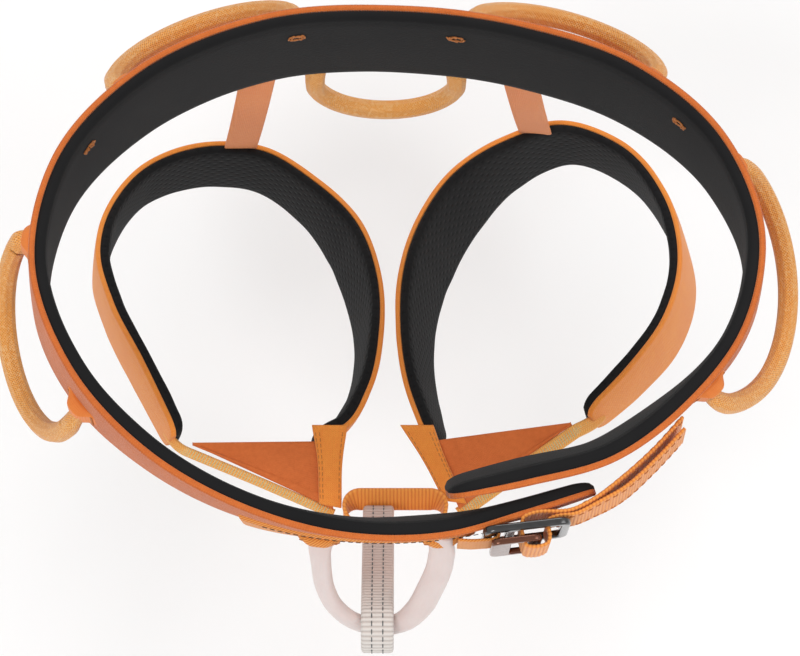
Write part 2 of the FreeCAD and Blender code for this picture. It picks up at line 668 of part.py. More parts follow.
# ---------------------------------------------------------------- checks and files
doc.recompute()
bad = [o.Label for o in doc.Objects if "Invalid" in o.State or "Error" in o.State]
bad += [p.Label for p in pieces if p.Shape.isNull() or not p.Shape.isValid()]
if bad:
    raise RuntimeError("these objects failed: " + ", ".join(sorted(set(bad))))
os.makedirs("parts", exist_ok=True)
for piece in pieces:
    piece.Shape.exportStep(f"parts/{piece.Label}.step")
    print(piece.Label, "volume", round(piece.Shape.Volume, 1), "solids", len(piece.Shape.Solids))
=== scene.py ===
"""Looks of the climbing harness: woven belt and thigh loops, webbing, braided gear loops and buckle.

Lengths in the station lists and in the shape functions are millimetres; meshes are made in metres.
"""
import math

import bpy
import numpy as np
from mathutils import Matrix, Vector


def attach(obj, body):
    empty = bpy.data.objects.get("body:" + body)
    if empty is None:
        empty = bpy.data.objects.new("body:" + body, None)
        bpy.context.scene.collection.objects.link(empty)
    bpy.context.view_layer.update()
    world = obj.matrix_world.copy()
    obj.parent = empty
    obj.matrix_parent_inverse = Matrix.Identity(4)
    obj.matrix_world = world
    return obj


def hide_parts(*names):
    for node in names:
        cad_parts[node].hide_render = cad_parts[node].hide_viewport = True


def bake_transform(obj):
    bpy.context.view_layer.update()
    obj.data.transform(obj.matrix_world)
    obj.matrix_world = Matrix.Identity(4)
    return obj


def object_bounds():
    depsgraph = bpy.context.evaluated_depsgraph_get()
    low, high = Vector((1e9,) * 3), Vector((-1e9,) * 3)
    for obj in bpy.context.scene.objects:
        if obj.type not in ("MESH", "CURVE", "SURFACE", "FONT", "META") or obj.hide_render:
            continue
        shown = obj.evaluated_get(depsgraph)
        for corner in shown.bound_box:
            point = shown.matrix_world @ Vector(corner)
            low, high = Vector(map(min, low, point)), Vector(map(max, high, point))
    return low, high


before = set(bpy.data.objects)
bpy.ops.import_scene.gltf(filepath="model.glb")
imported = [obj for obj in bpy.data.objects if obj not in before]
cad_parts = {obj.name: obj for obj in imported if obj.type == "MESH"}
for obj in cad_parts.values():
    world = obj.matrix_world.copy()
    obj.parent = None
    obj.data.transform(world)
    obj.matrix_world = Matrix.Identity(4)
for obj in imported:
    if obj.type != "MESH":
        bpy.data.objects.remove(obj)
cad_box = [list(corner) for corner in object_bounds()]
MM = 0.001

# ---------------------------------------------------------------- bands
# x, y and z of the seam between shell and lining at the rim, the band's height, how far its foot leans
# outward in degrees, and the share of the full thickness: the same stations as the solid model.
WAIST = [
    (22, -93, 18, 32, -22, 0.8), (51, -87, 19, 34, -23, 1), (83, -78, 20, 36, -20, 1),
    (111, -57, 22, 42, -14, 1), (133, -28, 25, 50, -2, 1), (140.5, 8, 29, 56, 6, 1),
    (127.5, 47, 32, 59, 6, 1), (96, 77, 33, 66, 7, 1), (51, 94.5, 33, 66, 7, 1),
    (0, 101.5, 33, 66, 7, 1), (-51, 97.5, 33, 66, 7, 1), (-98, 75.5, 33, 66, 7, 1),
    (-129, 38.5, 32, 62, 7, 1), (-136.5, -3, 28, 52, 6, 1), (-122, -42, 23, 42, 3, 1),
    (-93, -74, 19, 31, -2, 1), (-55, -96, 17, 28, -8, 1), (-15, -106.5, 15, 29, -18, 1),
    (22, -105, 12, 28, -20, 1), (50, -96.5, 11, 25, -12, 0.9), (77, -87.5, 10, 17, -10, 0.7),
]
RIGHT_THIGH = [
    (-31, -38, -80, 26, -4, 1), (-21, -33, -83, 30, -6, 1), (-11, -14, -90, 38, -3, 1),
    (-6, 15, -99, 44, -2, 1), (-7, 45, -110, 48, -5, 1), (-17, 76, -121, 50, -4, 1),
    (-36, 99, -130, 50, 2, 1), (-62, 117, -135, 50, 4, 1), (-87, 118, -134, 50, 4, 1),
    (-112, 106, -129, 50, 4, 1), (-127, 82, -121, 48, 1, 1), (-130, 58, -112, 44, 0, 1),
    (-122, 30, -103, 38, 0, 1), (-107, 0, -93, 30, 4, 1), (-90, -36, -82, 24, 4, 1),
]
LEFT_THIGH = [
    (81, -26, -84, 24, 6, 1), (100, -4, -90, 32, 6, 1), (117, 22, -100, 40, 6, 1),
    (126, 55, -112, 46, 6, 1), (122, 88, -122, 50, 4, 1), (104, 118, -132, 50, 4, 1),
    (78, 130, -136, 50, 5, 1), (50, 120, -133, 54, 1, 1), (28, 102, -126, 56, -6, 1),
    (12, 75, -118, 56, -8, 1), (4, 45, -108, 52, -8, 1), (3, 18, -100, 44, -8, 1),
    (6, -10, -90, 38, -8, 1), (14, -38, -79, 28, -6, 1),
]
THIGH_SPLAY = 0.15


def unit(v):
    return v / np.linalg.norm(v, axis=-1, keepdims=True)


def spline(points, count):
    """Even samples of the smooth curve through the points, by Hermite pieces on chord length."""
    p = np.array(points, float)
    space = p[:, :3] if p.shape[1] >= 3 else p
    at = np.r_[0, np.cumsum(np.linalg.norm(np.diff(space, axis=0), axis=1))]
    gap = np.diff(at)
    rate = np.diff(p, axis=0) / gap[:, None]
    near, far = gap[:-1, None], gap[1:, None]
    slope = np.vstack([rate[:1], (rate[:-1] * far + rate[1:] * near) / (near + far), rate[-1:]])
    along = np.linspace(0, at[-1], count)
    i = np.clip(np.searchsorted(at, along, side="right") - 1, 0, len(gap) - 1)
    u = ((along - at[i]) / gap[i])[:, None]
    g = gap[i][:, None]
    return ((2 * u**3 - 3 * u**2 + 1) * p[i] + (u**3 - 2 * u**2 + u) * g * slope[i]
            + (3 * u**2 - 2 * u**3) * p[i + 1] + (u**3 - u**2) * g * slope[i + 1])


def rows_at(where, at, rows):
    """Points part-way along a line: its rows interpolated where at has the values asked for."""
    return np.stack([np.interp(where, at, rows[:, i]) for i in range(3)], 1)


def lengths_along(points):
    """The distance along a line of points at each of them."""
    return np.r_[0, np.cumsum(np.linalg.norm(np.diff(points, axis=0), axis=1))]


class Band:
    """A strip that stands on edge along a smooth line; places on it are shares of its length."""

    def __init__(self, stations, splay=0.0, count=801):
        rows = spline(stations, count)
        self.count = count
        self.rim = rows[:, :3]
        self.height = rows[:, 3]
        self.thick = rows[:, 5]
        tangent = unit(np.gradient(self.rim, axis=0))
        outward = unit(np.cross(tangent, [0, 0, 1.0]))
        lean = np.tan(np.radians(rows[:, 4]))[:, None]
        self.down = unit(np.array([splay, 0, -1.0]) + outward * lean)
        normal = unit(np.cross(self.down, tangent))
        self.normal = normal * np.sign(np.sum(normal * outward, axis=1))[:, None]
        self.tangent = tangent
        self.along = lengths_along(self.rim)
        self.length = self.along[-1]

    def nearest(self, x, y):
        """The share of the length at which the rim lies nearest to x, y."""
        return self.along[np.argmin(np.hypot(self.rim[:, 0] - x, self.rim[:, 1] - y))] / self.length

    def at(self, share):
        """Rim point, way down, outward normal, height, thickness share and tangent at shares."""
        place = np.atleast_1d(share) * self.length
        rim, down, normal, tangent = (rows_at(place, self.along, rows) for rows in (
            self.rim, self.down, self.normal, self.tangent))
        return (rim, unit(down), unit(normal), np.interp(place, self.along, self.height),
                np.interp(place, self.along, self.thick), unit(tangent))

    def points(self, shares, offset, fall):
        """Points at shares of the length (n), offset outward and fallen (n by k, in mm and share)."""
        rim, down, normal, height, thick, _ = self.at(shares)
        n, k = len(rim), np.shape(offset)[-1]
        offset = np.broadcast_to(offset, (n, k))
        fall = np.broadcast_to(fall, (n, k))
        return (rim[:, None] + normal[:, None] * (offset * thick[:, None])[..., None]
                + down[:, None] * (fall * height[:, None])[..., None])


waist = Band(WAIST)
thighs = {"right": Band(RIGHT_THIGH, -THIGH_SPLAY, 401), "left": Band(LEFT_THIGH, THIGH_SPLAY, 401)}


# ---------------------------------------------------------------- meshes
def make_mesh(name, vertices, faces, uvs=None, smooth=True):
    """A mesh object from millimetre points, faces and one UV pair per face corner."""
    mesh = bpy.data.meshes.new(name)
    mesh.from_pydata((np.asarray(vertices) * MM).tolist(), [], faces)
    if uvs is not None:
        layer = mesh.uv_layers.new(name="Weave")
        layer.data.foreach_set("uv", np.asarray(uvs, np.float32).ravel())
    mesh.polygons.foreach_set("use_smooth", [smooth] * len(mesh.polygons))
    mesh.validate()
    mesh.update()
    thing = bpy.data.objects.new(name, mesh)
    bpy.context.scene.collection.objects.link(thing)
    return thing


def loft(name, rings, close_along=False, caps=True):
    """A closed skin through rings of points (n by k by 3); UVs are millimetres along and round."""
    rings = np.asarray(rings, float)
    n, k = rings.shape[:2]
    faces = []
    uvs = []
    step = np.linalg.norm(np.diff(rings.mean(axis=1), axis=0), axis=1)
    along = np.r_[0, np.cumsum(step)]
    if close_along:
        along = np.r_[along, along[-1] + np.linalg.norm(rings[0].mean(0) - rings[-1].mean(0))]
    middle = rings[n // 2]
    turn = np.linalg.norm(np.roll(middle, -1, axis=0) - middle, axis=1)
    around = np.r_[0, np.cumsum(turn)]
    last = n if close_along else n - 1
    for i in range(last):
        j = (i + 1) % n
        for a in range(k):
            b = (a + 1) % k
            faces.append((i * k + a, i * k + b, j * k + b, j * k + a))
            uvs += [(along[i], around[a]), (along[i], around[a + 1]),
                    (along[i + 1], around[a + 1]), (along[i + 1], around[a])]
    if caps and not close_along:
        faces.append(tuple(range(k))[::-1])
        uvs += [(along[0], around[a]) for a in range(k)][::-1]
        faces.append(tuple((n - 1) * k + a for a in range(k)))
        uvs += [(along[-1], around[a]) for a in range(k)]
    thing = make_mesh(name, rings.reshape(-1, 3), faces, uvs)
    face_outward(thing)
    return thing


def face_outward(thing):
    """Turns the whole skin round if its volume comes out negative."""
    mesh = thing.data
    mesh.calc_loop_triangles()
    corner = np.empty(len(mesh.vertices) * 3)
    mesh.vertices.foreach_get("co", corner)
    corner = corner.reshape(-1, 3)
    tri = np.empty(len(mesh.loop_triangles) * 3, int)
    mesh.loop_triangles.foreach_get("vertices", tri)
    a, b, c = (corner[tri.reshape(-1, 3)[:, i]] for i in range(3))
    if np.sum(np.einsum("ij,ij->i", a, np.cross(b, c))) < 0:
        mesh.flip_normals()


def join(name, things):
    """One object from several."""
    mesh = things[0].data
    with bpy.context.temp_override(
            active_object=things[0], selected_objects=things, selected_editable_objects=things):
        bpy.ops.object.join()
    things[0].name = name
    mesh.name = name
    return things[0]


def sweep_frames(path, closed=False, up=(0, 0, 1)):
    """Tangents, sides and ups along a path, carried along so that they don't spin."""
    path = np.asarray(path, float)
    if closed:
        tangent = unit(np.roll(path, -1, axis=0) - np.roll(path, 1, axis=0))
    else:
        tangent = unit(np.gradient(path, axis=0))
    ups = []
    here = np.array(up, float)
    for t in tangent:
        here = here - t * np.dot(here, t)
        here = here / np.linalg.norm(here)
        ups.append(here)
    ups = np.array(ups)
    return tangent, np.cross(tangent, ups), ups


def tube(name, path, radius, sides=28, up=(0, 0, 1), flat=1.0, ribs=0, rib_depth=0.0, closed=False):
    """A tube along a path; radius may vary along it, flat squashes it along the ups."""
    path = np.asarray(path, float)
    _, side, ups = sweep_frames(path, closed, up)
    angle = np.linspace(0, 2 * math.pi, sides, endpoint=False)
    radius = np.broadcast_to(radius, (len(path),))[:, None]
    flat = np.broadcast_to(flat, (len(path),))[:, None]
    reach = radius * (1 + rib_depth * np.cos(ribs * angle))
    rings = (path[:, None] + side[:, None] * (np.cos(angle) * reach)[..., None]
             + ups[:, None] * (np.sin(angle) * reach * flat)[..., None])
    return loft(name, rings, closed)


def rounded_section(width, thick, per_end=5, per_side=9):
    """Corners of a webbing section: x across the width, y through the thickness."""
    half = width / 2 - thick / 2
    end = np.linspace(-math.pi / 2, math.pi / 2, per_end)
    across = np.linspace(half, -half, per_side)[1:-1]
    right = np.stack([half + thick / 2 * np.cos(end), thick / 2 * np.sin(end)], 1)
    top = np.stack([across, np.full(len(across), thick / 2)], 1)
    left = np.stack([-half - thick / 2 * np.cos(end), -thick / 2 * np.sin(end)], 1)
    low = np.stack([-across, np.full(len(across), -thick / 2)], 1)
    return np.vstack([right, top, left, low])


def webbing(name, path, across, width, thick, closed=False, ribs=0.0, pitch=1.5, dense=0.25,
            widths=None):
    """Flat webbing along a path; across is the way its width runs; ribs are real cross ribs."""
    path = np.asarray(path, float)
    across = np.broadcast_to(np.asarray(across, float), path.shape)
    if closed:
        path = np.vstack([path, path[:1]])
        across = np.vstack([across, across[:1]])
    at = lengths_along(path)
    count = int(at[-1] / dense)
    where = np.linspace(0, at[-1], count, endpoint=not closed)
    fine = rows_at(where, at, path)
    width_way = rows_at(where, at, across)
    if closed:
        tangent = unit(np.roll(fine, -1, axis=0) - np.roll(fine, 1, axis=0))
    else:
        tangent = unit(np.gradient(fine, axis=0))
    width_way = unit(width_way - tangent * np.sum(width_way * tangent, axis=1)[:, None])
    face = np.cross(tangent, width_way)
    section = rounded_section(width, thick)
    lift = 1 + ribs / (thick / 2) * np.abs(np.sin(math.pi * where / pitch))
    scale = np.ones(len(fine)) if widths is None else np.interp(where / at[-1], *widths)
    rings = (fine[:, None] + width_way[:, None] * (section[:, 0] * scale[:, None])[..., None]
             + face[:, None] * (section[:, 1] * lift[:, None])[..., None])
    return loft(name, rings, closed)


def capsules(name, starts, ends, radius, sides=6):
    """Short stitches of thread, all in one mesh."""
    vertices = []
    faces = []
    for start, end in zip(np.asarray(starts, float), np.asarray(ends, float)):
        way = unit(end - start)
        other = unit(np.cross(way, [0.3, 0.5, 0.8]))
        third = np.cross(way, other)
        base = len(vertices)
        for t, r in ((0, 0.45), (0.2, 1), (0.8, 1), (1, 0.45)):
            centre = start + (end - start) * t
            for a in range(sides):
                angle = 2 * math.pi * a / sides
                vertices.append(centre + radius * r * (other * math.cos(angle) + third * math.sin(angle)))
        for i in range(3):
            for a in range(sides):
                b = (a + 1) % sides
                faces.append((base + i * sides + a, base + i * sides + b,
                              base + (i + 1) * sides + b, base + (i + 1) * sides + a))
        faces.append(tuple(base + a for a in range(sides))[::-1])
        faces.append(tuple(base + 3 * sides + a for a in range(sides)))
    thing = make_mesh(name, vertices, faces)
    face_outward(thing)
    return thing


def stitch_row(points, normals, length, gap, lift):
    """Starts and ends of stitches along a line of points, laid just proud of the surface."""
    points = np.asarray(points, float)
    normals = np.broadcast_to(np.asarray(normals, float), points.shape)
    at = lengths_along(points)
    first = np.arange(gap, at[-1] - length, length + gap)
    starts, ends = (rows_at(where, at, points) + rows_at(where, at, normals) * lift
                    for where in (first, first + length))
    return starts, ends


# ---------------------------------------------------------------- materials
def material(name):
    """A new node material: returns it with its node tree and its Principled shader."""
    made = bpy.data.materials.new(name)
    made.use_nodes = True
    return made, made.node_tree, made.node_tree.nodes["Principled BSDF"]


def node(tree, kind, inputs=None, **settings):
    made = tree.nodes.new(kind)
    for key, value in settings.items():
        setattr(made, key, value)
    for key, value in (inputs or {}).items():
        if isinstance(value, bpy.types.NodeSocket):
            tree.links.new(value, made.inputs[key])
        else:
            made.inputs[key].default_value = value
    return made


def math_node(tree, operation, a, b=None, clamp=False):
    made = node(tree, "ShaderNodeMath", operation=operation, use_clamp=clamp)
    for i, value in enumerate((a, b)):
        if isinstance(value, bpy.types.NodeSocket):
            tree.links.new(value, made.inputs[i])
        elif value is not None:
            made.inputs[i].default_value = value
    return made.outputs[0]


def times(tree, a, b, clamp=False):
    return math_node(tree, "MULTIPLY", a, b, clamp)


def plus(tree, a, b):
    return math_node(tree, "ADD", a, b)


def mix_colour(tree, factor, a, b, blend="MIX"):
    made = node(tree, "ShaderNodeMix", data_type="RGBA", blend_type=blend)
    for index, value in ((0, factor), (6, a), (7, b)):
        if isinstance(value, bpy.types.NodeSocket):
            tree.links.new(value, made.inputs[index])
        else:
            made.inputs[index].default_value = value
    return made.outputs[2]


def weave_uv(tree):
    """The along and round coordinates of a piece, in millimetres."""
    coordinates = node(tree, "ShaderNodeUVMap", uv_map="Weave")
    split = node(tree, "ShaderNodeSeparateXYZ", {0: coordinates.outputs[0]})
    return coordinates.outputs[0], split.outputs[0], split.outputs[1]


def object_noise(tree, scale, detail=3.0, rough=0.6, stretch=None):
    place = node(tree, "ShaderNodeTexCoord").outputs["Object"]
    if stretch:
        place = node(tree, "ShaderNodeMapping", {"Vector": place, "Scale": stretch}).outputs[0]
    return node(tree, "ShaderNodeTexNoise",
                {"Vector": place, "Scale": scale, "Detail": detail, "Roughness": rough}).outputs[0]


def ripple(tree, value, pitch):
    """0 to 1 and back once every pitch millimetres."""
    wave = math_node(tree, "SINE", times(tree, value, 2 * math.pi / pitch))
    return plus(tree, times(tree, wave, 0.5), 0.5)


def bump(tree, shader, height, strength, distance=0.0003):
    made = node(tree, "ShaderNodeBump", {"Height": height, "Strength": strength, "Distance": distance})
    tree.links.new(made.outputs[0], shader.inputs["Normal"])


def set_inputs(shader, values):
    for socket, value in values.items():
        shader.inputs[socket].default_value = value


def cloth_finish(shader, roughness, sheen, sheen_roughness=0.4, specular=0.3):
    set_inputs(shader, {"Roughness": roughness, "Sheen Weight": sheen,
                        "Sheen Roughness": sheen_roughness, "Specular IOR Level": specular})


def rgba(r, g, b):
    return (r, g, b, 1.0)


def woven(name, light, dark, fleck, pitch=1.1, strength=0.6, roughness=0.7, sheen=0.25, mottled=0.5):
    """Plain weave: warp and weft crowns in turn, with cloudy shade changes over the cloth."""
    made, tree, shader = material(name)
    _, along, around = weave_uv(tree)
    warp = ripple(tree, along, pitch)
    weft = ripple(tree, around, pitch)
    crown = times(tree, warp, weft)
    cloud = object_noise(tree, 28, 4)
    grain = object_noise(tree, 520, 3)
    streak = object_noise(tree, 260, 3, stretch=(1, 1, 0.15))
    base = mix_colour(tree, times(tree, cloud, mottled * 2, clamp=True), dark, light)
    base = mix_colour(tree, times(tree, crown, 0.35), base, fleck)
    base = mix_colour(tree, math_node(tree, "POWER", grain, 1.6), base, dark)
    base = mix_colour(tree, times(tree, streak, 0.35), base, light)
    tree.links.new(base, shader.inputs["Base Color"])
    height = plus(tree, crown, times(tree, grain, 1.2))
    bump(tree, shader, height, strength, 0.0005)
    cloth_finish(shader, roughness, sheen)
    return made


def lining_material(name, dots):
    """Black lining; dots embosses it with staggered rows of small dimples."""
    made, tree, shader = material(name)
    _, along, around = weave_uv(tree)
    fuzz = object_noise(tree, 900, 3)
    cloud = object_noise(tree, 22, 3)
    base = mix_colour(tree, cloud, rgba(0.006, 0.006, 0.007), rgba(0.016, 0.0155, 0.0155))
    height = times(tree, fuzz, 0.5)
    if dots:
        a = ripple(tree, plus(tree, along, around), dots)
        b = ripple(tree, math_node(tree, "SUBTRACT", along, around), dots)
        dimple = math_node(tree, "POWER", times(tree, a, b), 2.0)
        base = mix_colour(tree, times(tree, dimple, 0.4), base, rgba(0.003, 0.003, 0.003))
        height = math_node(tree, "SUBTRACT", height, times(tree, dimple, 0.9))
    tree.links.new(base, shader.inputs["Base Color"])
    bump(tree, shader, height, 0.7, 0.0005)
    cloth_finish(shader, 0.85, 0.04, 0.5, 0.12)
    return made


def herringbone(name, light, dark, column=3.2, pitch=1.3):
    """Zigzag twill: slanted ribs whose slant turns over from column to column."""
    made, tree, shader = material(name)
    _, along, around = weave_uv(tree)
    fold = math_node(tree, "PINGPONG", around, column)
    slant = plus(tree, along, fold)
    rib = ripple(tree, slant, pitch)
    grain = object_noise(tree, 800, 2)
    cloud = object_noise(tree, 60, 3)
    base = mix_colour(tree, rib, dark, light)
    base = mix_colour(tree, times(tree, cloud, 0.5), base, dark)
    tree.links.new(base, shader.inputs["Base Color"])
    bump(tree, shader, plus(tree, rib, times(tree, grain, 0.3)), 0.8)
    cloth_finish(shader, 0.6, 0.2)
    return made


def ribbed(name, light, dark, pitch, fine=0.55, rear_shade_colour=None):
    """Webbing with cross ribs and fine yarns; painted shade darkens and warms it toward the rear of its
    loop.
    """
    made, tree, shader = material(name)
    _, along, around = weave_uv(tree)
    rib = math_node(tree, "ABSOLUTE", math_node(
        tree, "SINE", times(tree, along, math.pi / pitch)))
    yarn = ripple(tree, around, fine)
    cloud = object_noise(tree, 90, 3)
    grain = object_noise(tree, 900, 2)
    base = mix_colour(tree, rib, dark, light)
    base = mix_colour(tree, times(tree, yarn, 0.18), base, dark)
    base = mix_colour(tree, times(tree, cloud, 0.35), base, light)
    if rear_shade_colour:
        # Painted shade: from y -0.122 m to -0.100 m, half of a darker, warmer colour is mixed in toward the
        # rear of the loop, which runs back underneath the other parts.
        place = node(tree, "ShaderNodeTexCoord").outputs["Object"]
        depth = node(tree, "ShaderNodeSeparateXYZ", {0: place}).outputs[1]
        rear_shade = node(tree, "ShaderNodeMapRange",
                     {"Value": depth, "From Min": -0.122, "From Max": -0.100}).outputs[0]
        base = mix_colour(tree, times(tree, rear_shade, 0.5), base, rear_shade_colour)
    tree.links.new(base, shader.inputs["Base Color"])
    height = plus(tree, times(tree, yarn, 0.35),
                       times(tree, grain, 0.35))
    bump(tree, shader, plus(tree, height, rib), 0.6, 0.00025)
    cloth_finish(shader, 0.55, 0.2)
    return made


def braid(name, base_light, base_dark, fleck, fleck_share):
    """Braided sheath: two families of strands crossing on the slant, with pale flecks."""
    made, tree, shader = material(name)
    uv, along, around = weave_uv(tree)
    slope = 0.9
    left = ripple(tree, plus(tree, times(tree, along, slope), around), 1.15)
    right = ripple(tree, math_node(
        tree, "SUBTRACT", times(tree, along, slope), around), 1.15)
    cross = math_node(tree, "MAXIMUM", left, right)
    cells = node(tree, "ShaderNodeTexVoronoi", {"Vector": uv, "Scale": 2.2}).outputs["Color"]
    pick = node(tree, "ShaderNodeSeparateColor", {0: cells}).outputs[0]
    patches = object_noise(tree, 45, 3)
    level = plus(tree, times(tree, patches, 0.8), fleck_share - 0.4)
    shown = math_node(tree, "LESS_THAN", pick, level)
    base = mix_colour(tree, cross, base_dark, base_light)
    base = mix_colour(tree, times(tree, shown, 0.45), base, fleck)
    tree.links.new(base, shader.inputs["Base Color"])
    bump(tree, shader, cross, 0.8, 0.0003)
    cloth_finish(shader, 0.5, 0.25)
    return made


def sleeve_material():
    """Slick, slightly see-through pinkish sleeve with lengthwise streaks."""
    made, tree, shader = material("tie_in_sleeve")
    _, along, around = weave_uv(tree)
    streak = object_noise(tree, 120, 4, 0.7, (1, 1, 0.35))
    cloud = object_noise(tree, 45, 2)
    yarn = ripple(tree, around, 1.4)
    base = mix_colour(tree, cloud, rgba(0.60, 0.44, 0.41), rgba(0.72, 0.61, 0.58))
    base = mix_colour(tree, times(tree, streak, 0.5), base, rgba(0.80, 0.75, 0.73))
    tree.links.new(base, shader.inputs["Base Color"])
    bump(tree, shader, plus(tree, streak, times(tree, yarn, 0.2)), 0.35, 0.0004)
    set_inputs(shader, {"Roughness": 0.32, "Subsurface Weight": 0.25, "Coat Weight": 0.25,
                        "Subsurface Radius": (0.003, 0.0018, 0.0015), "Coat Roughness": 0.25})
    return made


def thread(name, colour):
    made, tree, shader = material(name)
    twist = object_noise(tree, 1500, 2)
    tree.links.new(mix_colour(tree, times(tree, twist, 0.6), colour, rgba(0, 0, 0)),
                   shader.inputs["Base Color"])
    bump(tree, shader, twist, 0.4, 0.0001)
    cloth_finish(shader, 0.6, 0.2)
    return made


def anodised(name, colour, worn, roughness):
    """Anodised metal: fine grain, rubbed paler along its edges."""
    made, tree, shader = material(name)
    edge = node(tree, "ShaderNodeNewGeometry").outputs["Pointiness"]
    rub = node(tree, "ShaderNodeMapRange", {"Value": edge, "From Min": 0.52, "From Max": 0.62}).outputs[0]
    grain = object_noise(tree, 900, 3, stretch=(0.2, 1, 1))
    patch = object_noise(tree, 120, 3)
    base = mix_colour(tree, times(tree, rub, patch), colour, worn)
    base = mix_colour(tree, times(tree, grain, 0.25), base, worn)
    tree.links.new(base, shader.inputs["Base Color"])
    rough = plus(tree, times(tree, grain, 0.12), roughness)
    tree.links.new(rough, shader.inputs["Roughness"])
    bump(tree, shader, grain, 0.12, 0.0001)
    set_inputs(shader, {"Metallic": 0.85, "Coat Weight": 0.6, "Coat Roughness": 0.12})
    return made


ORANGE = rgba(0.76, 0.185, 0.030)
DEEP_ORANGE = rgba(0.46, 0.090, 0.012)
PALE_ORANGE = rgba(0.88, 0.34, 0.080)
BRIGHT_ORANGE = rgba(0.90, 0.34, 0.045)
AMBER = rgba(0.94, 0.47, 0.080)

finishes = {
    "shell": woven("shell_weave", ORANGE, DEEP_ORANGE, PALE_ORANGE, 1.0),
    "thigh_shell": woven("thigh_weave", BRIGHT_ORANGE, ORANGE, AMBER, 1.0, 0.5),
    "panel": woven("stretch_knit", rgba(0.80, 0.20, 0.045), DEEP_ORANGE, ORANGE, 0.6, 0.35, 0.65),
    "tab": woven("tab_weave", BRIGHT_ORANGE, ORANGE, AMBER, 0.9, 0.5),
    "lining": lining_material("belt_lining", 0),
    "thigh_lining": lining_material("thigh_lining", 6.0),
    "load": herringbone("load_webbing", rgba(0.95, 0.45, 0.09), rgba(0.66, 0.17, 0.025)),
    "strap": ribbed("ribbed_webbing", rgba(0.90, 0.35, 0.065), rgba(0.66, 0.17, 0.03), 1.5),
    "riser": woven("riser_weave", rgba(0.88, 0.30, 0.07), ORANGE, PALE_ORANGE, 0.8, 0.4),
    "hem": herringbone("hem_webbing", rgba(0.96, 0.58, 0.17), rgba(0.85, 0.32, 0.06), 2.2, 1.2),
    "braid": braid("braided_sheath", rgba(0.92, 0.42, 0.09), rgba(0.50, 0.14, 0.03),
                   rgba(0.93, 0.66, 0.34), 0.26),
    "sleeve": sleeve_material(),
    # The belay loop's webbing gets painted shade toward its rear.
    "belay": ribbed("white_webbing", rgba(0.74, 0.70, 0.66), rgba(0.46, 0.40, 0.37), 1.7,
                    rear_shade_colour=rgba(0.62, 0.36, 0.29)),
    "grey_thread": thread("grey_thread", rgba(0.16, 0.17, 0.17)),
    "dark_thread": thread("dark_thread", rgba(0.07, 0.03, 0.02)),
    "orange_thread": thread("orange_thread", rgba(0.66, 0.22, 0.05)),
    "pale_thread": thread("pale_thread", rgba(0.95, 0.72, 0.36)),
    "frame": anodised("buckle_black", rgba(0.012, 0.012, 0.013), rgba(0.30, 0.30, 0.30), 0.16),
    "slider": anodised("buckle_bronze", rgba(0.10, 0.022, 0.010), rgba(0.45, 0.20, 0.10), 0.2),
}


def finish_piece(thing, finish, slot, body, *nodes):
    """Gives a piece its material and body and hides the CAD nodes that it stands for; slot is not used."""
    thing.data.materials.clear()
    thing.data.materials.append(finishes[finish])
    if nodes:
        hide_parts(*nodes)
    if body:
        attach(thing, body)
    return thing


def sew(name, rows, radius, finish, *nodes, body="waist"):
    """Every stitch of a list of (starts, ends) as one mesh of thread on a body."""
    starts = np.vstack([a for a, _ in rows])
    ends = np.vstack([b for _, b in rows])
    return finish_piece(capsules(name, starts, ends, radius), finish, "stitching", body, *nodes)


# ---------------------------------------------------------------- padded bands
def band_piece(name, band, profile, first=0.0, last=1.0, step=2.0, shape=None):
    """A piece of a band; profile(shares) gives offsets (mm) and falls (share of height), n by k."""
    shares = np.linspace(first, last, max(int((last - first) * band.length / step), 3))
    offset, fall = profile(shares)
    points = band.points(shares, offset, fall)
    if shape is not None:
        points = shape(points, shares)
    return loft(name, points)


def wander(shares, seed, cycles, size):
    """A smooth random wobble along the length."""
    source = np.random.default_rng(seed)
    total = np.zeros(len(shares))
    for k in range(1, 7):
        phase = source.uniform(0, 2 * math.pi)
        total += np.sin(2 * math.pi * cycles * k * shares / 2 + phase) / k
    return total * size / 1.6


def closing(shares, first, last, length, reach):
    """1 along the band, falling in a quarter circle to 0 over the last reach millimetres."""
    near = np.minimum((shares - first), (last - shares)) * length / reach
    near = np.clip(near, 0, 1)
    return np.sqrt(np.clip(1 - (1 - near) ** 2, 0.0, 1))


def shell_profile(band, thick, seed):
    """Rolled rim and foot with a puffed outer face sewn down near both."""
    def profile(shares):
        end = closing(shares, 0, 1, band.length, 9)
        squeeze = 0.5 - 0.5 * end
        bend = np.linspace(0, math.pi, 7)[1:-1]
        outer = np.linspace(0.03, 0.97, 19)
        seam = 0.35 * (np.exp(-((outer - 0.12) / 0.02) ** 2) + np.exp(-((outer - 0.88) / 0.02) ** 2))
        puff = 0.5 * np.sin(math.pi * outer) ** 0.7
        x = np.r_[0, thick / 2 - thick / 2 * np.cos(bend), thick + puff - seam,
                  thick / 2 + thick / 2 * np.cos(bend), 0, np.zeros(5)]
        y = np.r_[0.012, 0.012 - 0.012 * np.sin(bend), outer, 0.985 + 0.015 * np.sin(bend), 0.985,
                  np.linspace(0.9, 0.1, 5)]
        wave = wander(shares, seed, 8, 0.22)[:, None] * (x > 0.2)
        offset = x[None] + wave * (0.4 + 0.6 * np.sin(math.pi * np.clip(y, 0, 1)))[None]
        fall = 0.5 + (y[None] - 0.5) * (1 - 2 * squeeze[:, None] * 0.55)
        return offset, fall
    return profile


